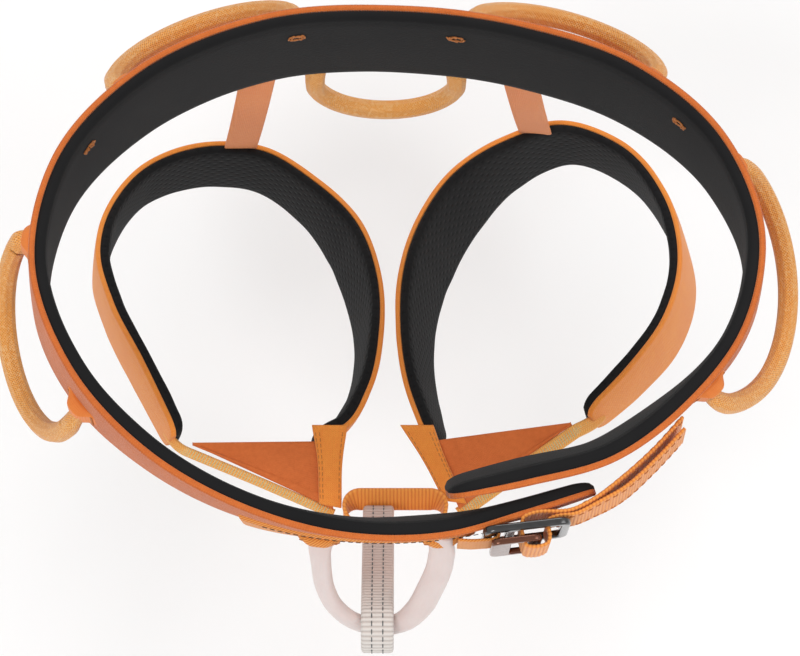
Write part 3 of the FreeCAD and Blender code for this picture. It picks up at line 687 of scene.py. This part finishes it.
def lining_profile(band, thick, seed):
    """Rolled rim, a puffed inner face with a sewn line near each edge, and a rolled foot."""
    def profile(shares):
        end = closing(shares, 0, 1, band.length, 9)
        squeeze = 0.5 - 0.5 * end
        bend = np.linspace(0, math.pi / 2, 7)
        face = np.linspace(0.07, 0.93, 23)
        puff = 0.9 * np.sin(math.pi * face) ** 0.5
        x = np.r_[-0.02, -thick * 0.5 + thick * 0.5 * np.cos(bend), -thick * (0.5 + 0.5 * np.sin(bend)),
                  -thick - puff, -thick * (0.5 + 0.5 * np.cos(bend)),
                  -thick * 0.5 + thick * 0.5 * np.sin(bend), -0.02, np.full(5, -0.02)]
        rise = 0.035
        y = np.r_[0.03, 0.03 - rise * np.sin(bend), 0.03 - rise + (0.04) * (1 - np.cos(bend)), face,
                  0.935 + 0.04 * np.sin(bend), 0.975 + 0.03 * (1 - np.sin(bend)), 0.97,
                  np.linspace(0.9, 0.1, 5)]
        rim = wander(shares, seed, 7, 0.012)[:, None]
        wobble = wander(shares, seed + 1, 9, 0.22)[:, None]
        offset = x[None] + wobble * (x < -1)[None]
        fall = y[None] + rim * np.abs(y - 0.5)[None] * 0.4
        fall = 0.5 + (fall - 0.5) * (1 - 2 * squeeze[:, None] * 0.55)
        return offset * (0.35 + 0.65 * end[:, None]), fall
    return profile


SHELL = 2.5
LINING = 4.5
THIGH_SHELL = 2.2
THIGH_LINING = 3.8
waist_shell = band_piece("waist_shell_cloth", waist, shell_profile(waist, SHELL, 3), step=1.6)
finish_piece(waist_shell, "shell", "shell_fabric", "waist", "waist_shell")
waist_lining = band_piece("waist_lining_cloth", waist, lining_profile(waist, LINING, 11), step=1.6)
finish_piece(waist_lining, "lining", "lining_fabric", "waist", "waist_lining", "waist_foam")
for side, band in thighs.items():
    body = side + "_thigh_loop"
    shell = band_piece(side + "_thigh_shell_cloth", band, shell_profile(band, THIGH_SHELL, 5), step=1.5)
    finish_piece(shell, "thigh_shell", "shell_fabric", body, side + "_thigh_shell")
    pad = band_piece(side + "_thigh_lining_cloth", band, lining_profile(band, THIGH_LINING, 21), step=1.5)
    finish_piece(pad, "thigh_lining", "lining_fabric", body, side + "_thigh_lining",
                 side + "_thigh_foam")


# ---------------------------------------------------------------- webbing sewn to the belt
def sewn_strip(name, first, last, falls, lift, thick, ends=2.5):
    """Webbing lying on the belt's outer face between two falls (share of the belt's height)."""
    def profile(shares):
        k = 11
        fall = np.linspace(falls[0], falls[1], k)
        roll = np.sqrt(np.clip(1 - (np.abs(np.linspace(-1, 1, k)) ** 14), 0, 1))
        taper = closing(shares, first, last, waist.length, ends)[:, None]
        outer = lift + thick * roll[None] * (0.25 + 0.75 * taper)
        inner = np.full((len(shares), k), lift - 0.3)
        return np.hstack([outer, inner]), np.broadcast_to(np.r_[fall, fall[::-1]], (len(shares), 2 * k))
    return band_piece(name, waist, profile, first, last, 1.0)


load = sewn_strip("load_webbing", waist.nearest(-58, -95), waist.nearest(32, -102), (0.52, 1.12),
                  SHELL + 0.3, 1.7)
finish_piece(load, "load", "load_webbing", "waist", "waist_load_webbing")


def belt_line(first, last, offset, fall, count=200):
    """Points and outward normals along the belt's outer face."""
    shares = np.linspace(first, last, count)
    _, _, normal, _, _, _ = waist.at(shares)
    return waist.points(shares, np.full((count, 1), offset), np.full((count, 1), fall))[:, 0], normal


line, normals = belt_line(waist.nearest(-50, -98), waist.nearest(44, -98), SHELL + 1.9, 0.58)
sew("load_webbing_stitches", [stitch_row(line, normals, 2.0, 1.0, 0.15)], 0.17, "dark_thread")


# ---------------------------------------------------------------- gear loops
GEAR_RADIUS = 4.0
GEAR_STANDOFF = 6.2
# Where each loop's ends meet the belt (x, y), how far down it, the tilt out from hanging straight, and
# the chord, depth, side bend and straight legs of its arch.
GEAR_LOOPS = {
    "right_side_gear_loop": (((-135.6, 16.6), (-116.7, -49.8)), 0.72, 26, (79, 41, 17, 2)),
    "left_side_gear_loop": (((121.4, -45.7), (130.5, 41.9)), 0.55, 41, (98, 41, 18, 2)),
    "right_rear_gear_loop": (((-39.5, 100), (-102, 72.3)), 0.4, 46, (77, 32.5, 18, 2)),
    "left_rear_gear_loop": (((100.1, 74.2), (31, 98.7)), 0.4, 46, (77, 32.5, 18, 2)),
}
UP = np.array([0, 0, 1.0])


def axes_from(along, outward):
    """Unit axes as rows: X along, Y outward, Z across both."""
    x = unit(np.asarray(along, float))
    z = unit(np.cross(x, outward))
    return np.array([x, np.cross(z, x), z])


def arch(chord, depth, bend, leg):
    """Loop of straight legs, two side bends and a wide crown, as flat points."""
    half = chord / 2
    crown = depth - leg
    drop = ((half - bend) ** 2 - (crown - bend) ** 2) / (2 * (crown - bend))
    lean = math.atan2(drop, half - bend)
    turn = lambda x, y, r, a, b, n: [(x + r * math.cos(t), y + r * math.sin(t))
                                     for t in np.linspace(a, b, n)]
    points = [(-half, y) for y in np.linspace(0, leg, 8)[:-1]]
    points += turn(bend - half, leg, bend, math.pi, math.pi - lean, 26)[:-1]
    points += turn(0, leg - drop, crown + drop, math.pi - lean, lean, 60)
    points += turn(half - bend, leg, bend, lean, 0, 26)[1:]
    points += [(half, y) for y in np.linspace(leg, 0, 8)[1:]]
    return np.array(points)


def bezier(a, b, c, d, count):
    t = np.linspace(0, 1, count)[:, None]
    return a * (1 - t) ** 3 + 3 * b * t * (1 - t) ** 2 + 3 * c * t * t * (1 - t) + d * t**3


def tailed(path, tails, outs, reach, count=12):
    """Leads both ends of a loop back from the chord to where they are sewn in."""
    first = bezier(tails[0], tails[0] + outs[0], path[0] - reach * 4, path[0], count)
    last = bezier(path[-1], path[-1] - reach * 4, tails[1] + outs[1], tails[1], count)
    return np.vstack([first[:-1], path, last[1:]])


def gear_tube(name, path, normal, body):
    """A loop of braided tube, flattened where its ends are sewn in."""
    at = lengths_along(path)
    from_end = np.minimum(at, at[-1] - at)
    flat = np.interp(from_end, [0, 4, 16], [0.42, 0.5, 1.0])
    radius = np.interp(from_end, [0, 4, 16], [GEAR_RADIUS * 1.15, GEAR_RADIUS * 1.1, GEAR_RADIUS])
    thing = tube(name, path, radius, 54, normal, flat, ribs=9, rib_depth=0.035)
    finish_piece(thing, "braid", "braided_sheath", None, body + "_sheath", body + "_core")
    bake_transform(thing)
    return thing


patches = []
patch_stitches = []


def patch(name, share, half_wide, falls, base, dome, spread):
    """Webbing sewn over the end of a loop: flat at its sides, domed over what lies under it."""
    reach = half_wide / waist.length

    def profile(shares):
        k = 13
        d = (shares - share) * waist.length
        bulge = np.exp(-(d / spread) ** 4)[:, None]
        edge = np.sqrt(np.clip(1 - (np.abs(d) / (half_wide + 0.01)) ** 10, 0, 1))[:, None]
        fall = np.linspace(falls[0], falls[1], k)
        roll = np.sqrt(np.clip(1 - np.abs(np.linspace(-1, 1, k)) ** 12, 0, 1))[None]
        outer = base + 0.2 + (1.0 * edge + dome * bulge) * (0.3 + 0.7 * roll)
        return (np.hstack([outer, np.full((len(shares), k), base - 0.4)]),
                np.broadcast_to(np.r_[fall, fall[::-1]], (len(shares), 2 * k)))
    made = band_piece(name, waist, profile, share - reach, share + reach, 0.6)
    for sign in (-1, 1):
        for row in (0.62, 0.8):
            across = share + sign * row * reach
            zig = np.linspace(falls[0] + 0.02, falls[1] - 0.02, 13)
            wide = 0.9 / waist.length * (-1) ** np.arange(13)
            line = np.vstack([waist.points([across + wide[i]], [[base + 1.35]], [[zig[i]]])[0]
                              for i in range(13)])
            patch_stitches.append((line[:-1], line[1:]))
    patches.append(made)
    return made


TAIL_RISE = 9
for name, (ends, seat, tilt, shape) in GEAR_LOOPS.items():
    shares = [waist.nearest(*end) for end in ends]
    chord_ends = [waist.points([s], [[SHELL + GEAR_STANDOFF]], [[seat]])[0, 0] for s in shares]
    normals = [waist.at(s)[2][0] for s in shares]
    middle = (chord_ends[0] + chord_ends[1]) / 2
    level = (chord_ends[1] - chord_ends[0]) * [1, 1, 0]
    outward = unit((normals[0] + normals[1]) * [1, 1, 0])
    reach = outward * math.sin(math.radians(tilt)) - UP * math.cos(math.radians(tilt))
    axes = axes_from(level, reach)
    path = middle + arch(*shape) @ axes[:2]
    tails = []
    outs = []
    for s, end in zip(shares, (path[0], path[-1])):
        rim, down, normal, height, _, _ = waist.at(s)
        fall = seat - TAIL_RISE / height[0]
        tails.append(waist.points([s], [[SHELL + 1.6]], [[fall]])[0, 0])
        outs.append(down[0] * 6)
        patch(name + "_patch", s, 8.5, (fall - 0.05, fall + 7.5 / height[0]), SHELL, 4.1, 5.2)
    path = tailed(path, tails, outs, axes[1])
    gear_tube(name + "_tube", path, axes[2], name)

finish_piece(join("gear_loop_patches", patches), "riser", "trim_webbing", "waist", "gear_loop_anchors")
patches = []

HAUL_CENTRE = np.array([-3, 106, -40.0])
HAUL_SHAPE = (60, 29, 17, 4)
haul_axes = axes_from([1, 0, 0], [0, 0, -1.0])
haul_path = HAUL_CENTRE + arch(*HAUL_SHAPE) @ haul_axes[:2]
haul_tails = [haul_path[0] + [1, 2.0, 13], haul_path[-1] + [-1, 2.0, 13]]
haul_path = tailed(haul_path, haul_tails, [-UP * 3, -UP * 3], haul_axes[1])
gear_tube("haul_loop_tube", haul_path, haul_axes[2], "haul_loop")

# ---------------------------------------------------------------- tie-in loop
TIE_CENTRE = np.array([-4.3, -106, -14.5])
TIE_FOOT = np.array([-4.3, -124.8, -59.8])
tie_axes = axes_from([1, 0, 0], TIE_FOOT - TIE_CENTRE)
# Across and down the loop: it hangs as a soft U whose legs draw together toward the belay loop.
TIE_OUTLINE = [(-23.5, 0, 0), (-23.2, 8, 0), (-21.8, 24, 0), (-18, 36, 0), (-10.5, 45.5, 0), (0, 49, 0),
               (8, 46, 0), (14.5, 37, 0), (19, 24, 0), (22.5, 10, 0), (23.5, 0, 0)]
tie_path = TIE_CENTRE + spline(TIE_OUTLINE, 120) @ tie_axes
tie_tails = [tie_path[0] - tie_axes[1] * 10 + [1, 0, 0], tie_path[-1] - tie_axes[1] * 10 - [1, 0, 0]]
tie_path = tailed(tie_path, tie_tails, [tie_axes[1] * 3, tie_axes[1] * 3], tie_axes[1])


def flat_sleeve(name, path, up, half_wide, half_thick, twist, sides=40):
    """A flattened fabric tube whose section turns by twist degrees (one value per point)."""
    _, side, ups = sweep_frames(path, False, up)
    angle = np.linspace(0, 2 * math.pi, sides, endpoint=False)
    wide = np.sign(np.cos(angle)) * np.abs(np.cos(angle)) ** 0.8
    tall = np.sign(np.sin(angle)) * np.abs(np.sin(angle)) ** 0.9
    t = np.radians(twist)[:, None]
    width_way = side * np.cos(t) + ups * np.sin(t)
    thick_way = ups * np.cos(t) - side * np.sin(t)
    rings = (path[:, None] + width_way[:, None] * (wide * half_wide[:, None])[..., None]
             + thick_way[:, None] * (tall * half_thick[:, None])[..., None])
    return loft(name, rings)


tie_at = np.linspace(0, 1, len(tie_path))
sleeve = flat_sleeve(
    "tie_in_sleeve", tie_path, tie_axes[2],
    np.interp(tie_at, [0, 0.1, 0.3, 0.5, 0.68, 0.85, 1], [5.0, 4.3, 4.0, 4.6, 5.3, 5.2, 5.0]),
    np.interp(tie_at, [0, 0.1, 0.5, 0.9, 1], [2.2, 2.9, 2.9, 2.7, 2.2]),
    np.interp(tie_at, [0, 0.15, 0.4, 0.6, 1], [-10, -35, -18, 6, 12]))
finish_piece(sleeve, "sleeve", "tie_in_sleeve", None, "upper_tie_in_sleeve", "upper_tie_in_webbing")
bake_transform(sleeve)

WEB = SHELL + 2.0
for x in (-27.8, 19.2):
    patch("tie_in_patch", waist.nearest(x, -104), 8.0, (0.62, 1.22), WEB, 2.2, 5.6)
finish_piece(join("tie_in_patches", patches), "load", "load_webbing", "waist", "tie_in_tabs")
sew("patch_stitches", patch_stitches, 0.3, "orange_thread")


# ---------------------------------------------------------------- belay loop and leg bridge
def stadium(centres, radius, count=40):
    bend = np.linspace(-math.pi / 2, math.pi / 2, count)
    right = np.stack([centres / 2 + radius * np.cos(bend), radius * np.sin(bend)], 1)
    left = np.stack([-centres / 2 - radius * np.cos(bend), -radius * np.sin(bend)], 1)
    return np.vstack([right, left])


BELAY_REAR = np.array([-6, -75.2, -97])
BELAY_FRONT = TIE_FOOT + [-1.7, 0, 0]
BELAY_WIDE = 13.0
BELAY_THICK = 3.0
belay_axes = axes_from(BELAY_FRONT - BELAY_REAR, [0, 0.5, 1])
belay_path = (BELAY_FRONT + BELAY_REAR) / 2 + stadium(62, 9.0) @ belay_axes[:2]
belay = webbing("belay_webbing", belay_path, [1, 0, 0], BELAY_WIDE, BELAY_THICK - 0.3, True, 0.22, 1.7)
finish_piece(belay, "belay", "white_webbing", "belay_loop", "belay_loop")
ring = np.vstack([belay_path, belay_path[:1]])
ring_normal = unit(np.cross(np.gradient(ring, axis=0), [1, 0, 0]))
ring_normal *= np.sign(np.sum(ring_normal * (ring - ring.mean(0)), axis=1))[:, None]
rows = [stitch_row(ring + [across, 0, 0], ring_normal, 1.9, 0.9, BELAY_THICK / 2 + 0.05)
        for across in (-2.2, 2.2)]
sew("belay_stitches", rows, 0.26, "grey_thread", body="belay_loop")

BRIDGE_CENTRE = np.array([1, -68, -95.0])
bridge_flat = stadium(30, 6.0)
bridge_path = BRIDGE_CENTRE + np.c_[bridge_flat, np.zeros(len(bridge_flat))]
lying = 0.4 + 0.6 * np.clip(1 - np.abs(bridge_flat[:, 0]) / 21, 0, 1)[:, None] ** 0.8
flat_way = np.where(bridge_flat[:, 1:2] > 0, [[0, 0.94, 0.34]], [[0, 0.5, 0.87]])
bridge_across = unit(UP * (1 - lying) + flat_way * lying)
bridge = webbing("bridge_webbing", bridge_path, bridge_across, 10.5, 1.6, True, 0.12, 1.5)
finish_piece(bridge, "strap", "ribbed_webbing", "waist", "leg_bridge_webbing")

# ---------------------------------------------------------------- buckle and strap
BUCKLE_CENTRE = np.array([50.5, -102.4, 1.0])
turn = math.radians(7)
lean = math.radians(4)  # the solid model's buckle leans 12 degrees
buckle_along = np.array([math.cos(turn), math.sin(turn), 0])
buckle_out = np.array([math.sin(turn), -math.cos(turn), 0])
buckle_axes = axes_from(buckle_along, UP * math.cos(lean) + buckle_out * math.sin(lean))


def on_buckle(points):
    """World points (mm) from the buckle's own along, up and outward coordinates."""
    return BUCKLE_CENTRE + np.asarray(points, float) @ buckle_axes


def rounded_loop(left, right, low, high, radius, steps=7):
    """Corners of a rounded rectangle, anticlockwise."""
    points = []
    for cx, cy, start in ((right - radius, high - radius, 0), (left + radius, high - radius, 90),
                          (left + radius, low + radius, 180), (right - radius, low + radius, 270)):
        for a in np.linspace(math.radians(start), math.radians(start + 90), steps):
            points.append((cx + radius * math.cos(a), cy + radius * math.sin(a)))
    return points


def plate(name, loops, back, thick, edge):
    """A plate with holes and rounded edges, standing on the buckle's plane from back outward."""
    outline = bpy.data.curves.new(name, "CURVE")
    outline.dimensions = "2D"
    outline.fill_mode = "BOTH"
    outline.extrude = thick / 2 - edge
    outline.bevel_depth = edge
    outline.bevel_resolution = 4
    outline.offset = -edge
    for loop in loops:
        spline_of = outline.splines.new("POLY")
        spline_of.points.add(len(loop) - 1)
        for point, (x, y) in zip(spline_of.points, loop):
            point.co = (x, y, 0, 1)
        spline_of.use_cyclic_u = True
    carrier = bpy.data.objects.new(name + "_outline", outline)
    bpy.context.scene.collection.objects.link(carrier)
    bpy.context.view_layer.update()
    mesh = bpy.data.meshes.new_from_object(carrier.evaluated_get(bpy.context.evaluated_depsgraph_get()))
    bpy.data.objects.remove(carrier)
    bpy.data.curves.remove(outline)
    count = len(mesh.vertices)
    flat = np.empty(count * 3)
    mesh.vertices.foreach_get("co", flat)
    flat = flat.reshape(-1, 3)
    flat[:, 2] += back + thick / 2
    mesh.vertices.foreach_set("co", (on_buckle(flat) * MM).ravel())
    mesh.polygons.foreach_set("use_smooth", [True] * len(mesh.polygons))
    mesh.update()
    thing = bpy.data.objects.new(name, mesh)
    bpy.context.scene.collection.objects.link(thing)
    weld = thing.modifiers.new("weld", "WELD")
    weld.merge_threshold = 0.00001
    split = thing.modifiers.new("edges", "EDGE_SPLIT")
    split.split_angle = math.radians(50)
    return thing


BUCKLE_LONG = 33.0
BUCKLE_TALL = 28.0
BAR = 3.5
ANCHOR_SLOT = 5.0
half_long = BUCKLE_LONG / 2
half_tall = BUCKLE_TALL / 2
frame_plate = plate("buckle_frame_plate", [
    rounded_loop(-half_long, half_long, -half_tall, half_tall, 4.5),
    rounded_loop(-half_long + BAR, -half_long + BAR + ANCHOR_SLOT, -half_tall + BAR, half_tall - BAR,
                 1.2)[::-1],
    rounded_loop(-half_long + 2 * BAR + ANCHOR_SLOT, half_long - BAR, -half_tall + BAR,
                 half_tall - BAR, 1.6)[::-1],
], -1.5, 3.0, 0.9)
finish_piece(frame_plate, "frame", "buckle_black", "waist", "buckle_frame")
slider_plate = plate("buckle_slider_plate", [
    rounded_loop(-14, 5, -12.5, 12.5, 3.2),
    rounded_loop(-6.5, 0, -11 + 1.0, 11 - 1.0, 1.2)[::-1],
], 3.4, 2.6, 0.8)
finish_piece(slider_plate, "slider", "buckle_bronze", "buckle_slider", "buckle_slider")

STRAP_LEAN = 5.0


def strap_lean(u):
    """How far the strap's width leans its foot outward, in radians, at a place along the buckle."""
    return math.radians(STRAP_LEAN) * np.clip((np.asarray(u, float) - 12) / 20, 0, 1)


# Along and outward from the buckle's middle: the same route as the solid strap, its strands apart.
STRAP_ROUTE = [
    (65, -34.5), (52, -23.4), (38, -13.6), (28, -7.8), (19, -4.7), (1, -4.7), (-0.7, -4.0),
    (-1.4, -2.4), (-1.4, 5.4), (-0.9, 6.9), (1, 7.5), (5.2, 7.5), (7.2, 6.7), (8.1, 4.8),
    (8.2, -0.6), (9.0, -2.2), (11, -2.8), (19, -2.8), (28, -5.6), (38, -9.6), (52, -19.2),
    (65, -30)]
ANCHOR_ROUTE = [
    (-26, 1.0), (-20, 2.0), (-17, 2.15), (-12.6, 2.15), (-11.1, 1.7), (-10.4, 0.6), (-10.4, -0.9),
    (-11.1, -1.9), (-12.6, -2.25), (-15.6, -2.25)]


def buckle_webbing(name, route, rise, width, thick, ribs, pitch):
    """Webbing along a route in the buckle's along-and-outward plane, its width up the buckle."""
    flat = np.array([(u, rise, w) for u, w in route])
    smooth = spline(flat, len(route) * 10)
    lean_here = strap_lean(smooth[:, 0])[:, None]
    across = buckle_axes[1] * np.cos(lean_here) - buckle_axes[2] * np.sin(lean_here)
    return webbing(name, on_buckle(smooth), across, width, thick, False, ribs, pitch, 0.22)


strap = buckle_webbing("strap_webbing", STRAP_ROUTE, 0, 20, 1.1, 0.16, 1.5)
finish_piece(strap, "strap", "ribbed_webbing", "waist", "adjustment_strap")
anchor = buckle_webbing("anchor_webbing", ANCHOR_ROUTE, -2, 16, 1.1, 0.05, 1.2)
finish_piece(anchor, "load", "trim_webbing", "waist", "buckle_anchor_webbing")
rows = []
for rise in (-7.5, 7.5):
    for first, last in ((0, 5), (16, 22)):
        run = np.array([(u, rise, w) for u, w in STRAP_ROUTE[first:last]])
        fine = spline(run, 80)
        leaning = strap_lean(fine[:, 0])
        fine[:, 1] = rise * np.cos(leaning)
        fine[:, 2] -= rise * np.sin(leaning)
        fine = on_buckle(fine)
        normal = unit(np.cross(np.gradient(fine, axis=0), buckle_axes[1]))
        rows += [stitch_row(fine, normal * face, 2.2, 1.5, 0.78) for face in (-1, 1)]
sew("strap_stitches", rows, 0.3, "orange_thread")

# ---------------------------------------------------------------- thigh loop fronts
FRONTS = {
    "right": (((-86, -39.5, -88), (-31, -39.5, -86), (-25, -66, -97)),
              ((-34, -39.5, -86), (-19, -39.5, -86), (-21.6, -66, -97), (-31, -64, -97))),
    "left": (((77, -30, -89), (15, -39.5, -86), (28, -66, -97)),
             ((17, -39.5, -86), (3, -39.5, -86), (21.5, -63, -96), (31, -64, -97))),
}
VIEWED_FROM = np.array([0, -0.342, 0.94])
TAB_SEAM_COLUMNS = (2, 5, 22)


def sheet_from(name, grid, thick):
    """A closed sheet with rolled edges, half its thickness each side of a grid of points."""
    grid = np.asarray(grid, float)
    normal = unit(np.cross(np.gradient(grid, axis=0), np.gradient(grid, axis=1)))
    if normal[..., 2].mean() < 0:
        normal = -normal
    k = grid.shape[1]
    roll = np.sqrt(np.clip(1 - np.abs(np.linspace(-1, 1, k)) ** 16, 0, 1))[None, :, None]
    half = thick / 2 * (0.15 + 0.85 * roll) * normal
    return loft(name, np.concatenate([grid + half, (grid - half)[:, ::-1]], axis=1)), normal


for side, (panel, tab) in FRONTS.items():
    body = side + "_thigh_loop"
    outer, inner, foot = (np.array(p, float) for p in panel)
    # The panel fans out from its outer corner, between its upper edge and its hem.
    s = np.linspace(0.03, 1, 60)[:, None, None]
    t = np.linspace(0, 1, 40)[None, :, None]
    fan = outer + s * ((inner - outer) * (1 - t) + (foot - outer) * t)
    sag = np.sin(math.pi * np.clip(s, 0, 1)) * np.sin(math.pi * t)
    fold = np.exp(-((t - 0.86) / 0.05) ** 2) * 0.5
    ripples = 0.25 * np.sin(9 * s + 5 * t) * np.sin(math.pi * t)
    fan = fan + UP * (0.5 - 1.2 * sag + fold + ripples)
    fabric, _ = sheet_from(side + "_stretch_fabric", fan, 1.0)
    finish_piece(fabric, "panel", "stretch_fabric", body, side + "_stretch_panel")

    corners = [np.array(p, float) for p in tab]
    top_out, top_in = corners[0] + [0, 6, 2.0], corners[1] + [0, 6, 2.0]
    a = np.linspace(0, 1, 44)[:, None, None]
    b = np.linspace(0, 1, 26)[None, :, None]
    waisted = 1 - 0.16 * np.sin(math.pi * a) ** 1.5
    middle = (top_out + top_in) / 2 * (1 - a) + (corners[2] + corners[3]) / 2 * a
    across = (top_in - top_out) * (1 - a) + (corners[2] - corners[3]) * a
    cloth = middle + across * (b - 0.5) * waisted
    cloth = cloth + UP * (2.3 + 0.8 * np.sin(math.pi * a) * (1 - (2 * b - 1) ** 2))
    flap, flap_normal = sheet_from(side + "_tab_fabric", cloth, 1.5)
    finish_piece(flap, "tab", "trim_webbing", body, side + "_front_tab")
    rows = [stitch_row(cloth[3:42, column], flap_normal[3:42, column], 1.7, 0.7, 0.8)
            for column in TAB_SEAM_COLUMNS]
    sew(side + "_tab_stitches", rows, 0.17, "orange_thread", body=body)

    run = (outer + [0, -4, -1.2], foot + [0, -1.5, -2.4])
    at = np.linspace(0, 1, 40)[:, None]
    hem_path = run[0] * (1 - at) + run[1] * at + UP * (0.9 * np.sin(math.pi * at) + 0.8)
    band = thighs[side]
    root = band.points([0.985 if side == "right" else 0.015], [[1.0]], [[0.55]])[0, 0]
    lead = bezier(root, root + (run[0] - root) * [0.3, 0.6, 0.6], run[0] - (run[1] - run[0]) * 0.05,
                  hem_path[0], 10)
    hem_path = np.vstack([lead[:-1], hem_path])
    way = unit(run[1] - run[0])
    hem_across = unit(np.cross(way, VIEWED_FROM))
    hem = webbing(side + "_hem_strap", hem_path, hem_across, 6.0 if side == "left" else 4.2, 1.7, False,
                  0.1, 1.3)
    finish_piece(hem, "hem", "trim_webbing", body, side + "_hem_webbing")
    normal = unit(np.cross(hem_across, way))
    normal *= np.sign(normal[2])
    over = hem_path[2:-2]
    fine = rows_at(np.linspace(0, 1, 62), np.linspace(0, 1, len(over)), over)
    rows = [(fine + hem_across * 1.9 + normal * 0.95, fine - hem_across * 1.9 + normal * 0.95 + way * 0.5)]
    sew(side + "_hem_stitches", rows, 0.28, "pale_thread", body=body)

# ---------------------------------------------------------------- risers
RISERS = {"right": ((-57, 103.2, -34), (-70, 117.5, -132.2), (1, 0, 0.1)),
          "left": ((53, 106.5, -34), (65, 125, -132.2), (1, 0, -0.1))}
for side, (top, low, across) in RISERS.items():
    top = np.array(top, float)
    low = np.array(low, float)
    way = unit(low - top)
    at = np.linspace(-0.08, 1.06, 90)[:, None]
    slack = np.clip(at * (1 - at), 0, 1)
    path = top + (low - top) * at + np.array([0, -6.0, 0]) * slack
    riser = webbing(side + "_riser_strap", path, across, 15, 1.3, False, 0.04, 1.0, 0.8)
    finish_piece(riser, "riser", "trim_webbing", None, side + "_riser")
    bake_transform(riser)

# ---------------------------------------------------------------- bar tacks on the lining
rows = []
tacks = np.random.default_rng(5)
for x, y in ((-38, 97), (25, 97), (-119, 48), (113, 59)):
    share = waist.nearest(x, y)
    turn = np.linspace(0, 2 * math.pi, 15)
    for ring_size in (1.0, 0.72):
        along = share + 3.4 * ring_size * np.cos(turn) / waist.length
        fall = 0.2 + 0.033 * ring_size * np.sin(turn)
        depth = -5.45 - 0.25 * tacks.random(len(turn))
        line = np.vstack([waist.points([along[i]], [[depth[i]]], [[fall[i]]])[0] for i in range(len(turn))])
        rows.append((line[:-1], line[1:] + tacks.normal(0, 0.3, line[1:].shape)))
sew("lining_bartacks", rows, 0.36, "orange_thread", "waist_bartacks")

# ---------------------------------------------------------------- floor, light and camera
FLOOR_DROP = 0.12
low_point = cad_box[0][2]
bpy.ops.mesh.primitive_plane_add(size=6, location=(0, 0, low_point - FLOOR_DROP))
floor = bpy.context.object
floor.name = "floor"
floor_material, tree, shader = material("pale_floor")
tone = mix_colour(tree, object_noise(tree, 3, 2), rgba(0.95, 0.95, 0.95), rgba(0.97, 0.97, 0.97))
tree.links.new(tone, shader.inputs["Base Color"])
shader.inputs["Roughness"].default_value = 0.9
floor.data.materials.append(floor_material)

world = bpy.data.worlds.new("studio")
bpy.context.scene.world = world
world.use_nodes = True
world.node_tree.nodes["Background"].inputs[0].default_value = rgba(1, 1, 1)
world.node_tree.nodes["Background"].inputs[1].default_value = 0.62


def softbox(name, place, aim, size, power):
    lamp = bpy.data.lights.new(name, "AREA")
    lamp.shape = "DISK"
    lamp.size = size
    lamp.energy = power
    thing = bpy.data.objects.new(name, lamp)
    bpy.context.scene.collection.objects.link(thing)
    thing.location = place
    thing.rotation_euler = (Vector(aim) - Vector(place)).to_track_quat("-Z", "Y").to_euler()


softbox("key", (-0.7, -0.9, 1.3), (0, 0, -0.05), 0.9, 12)
softbox("fill", (1.1, -0.3, 1.0), (0, 0, -0.05), 1.1, 6.5)
softbox("rear", (0.2, 1.2, 1.1), (0, 0, -0.05), 1.0, 6)

camera = bpy.data.cameras.new("camera")
camera.lens = 110.7
camera.sensor_width = 36
viewpoint = bpy.data.objects.new("camera", camera)
bpy.context.scene.collection.objects.link(viewpoint)
viewpoint.location = (0.003, -0.3483, 0.9021)
viewpoint.rotation_euler = (math.radians(20), 0, 0)
bpy.context.scene.camera = viewpoint
bpy.context.scene.view_settings.view_transform = "Standard"
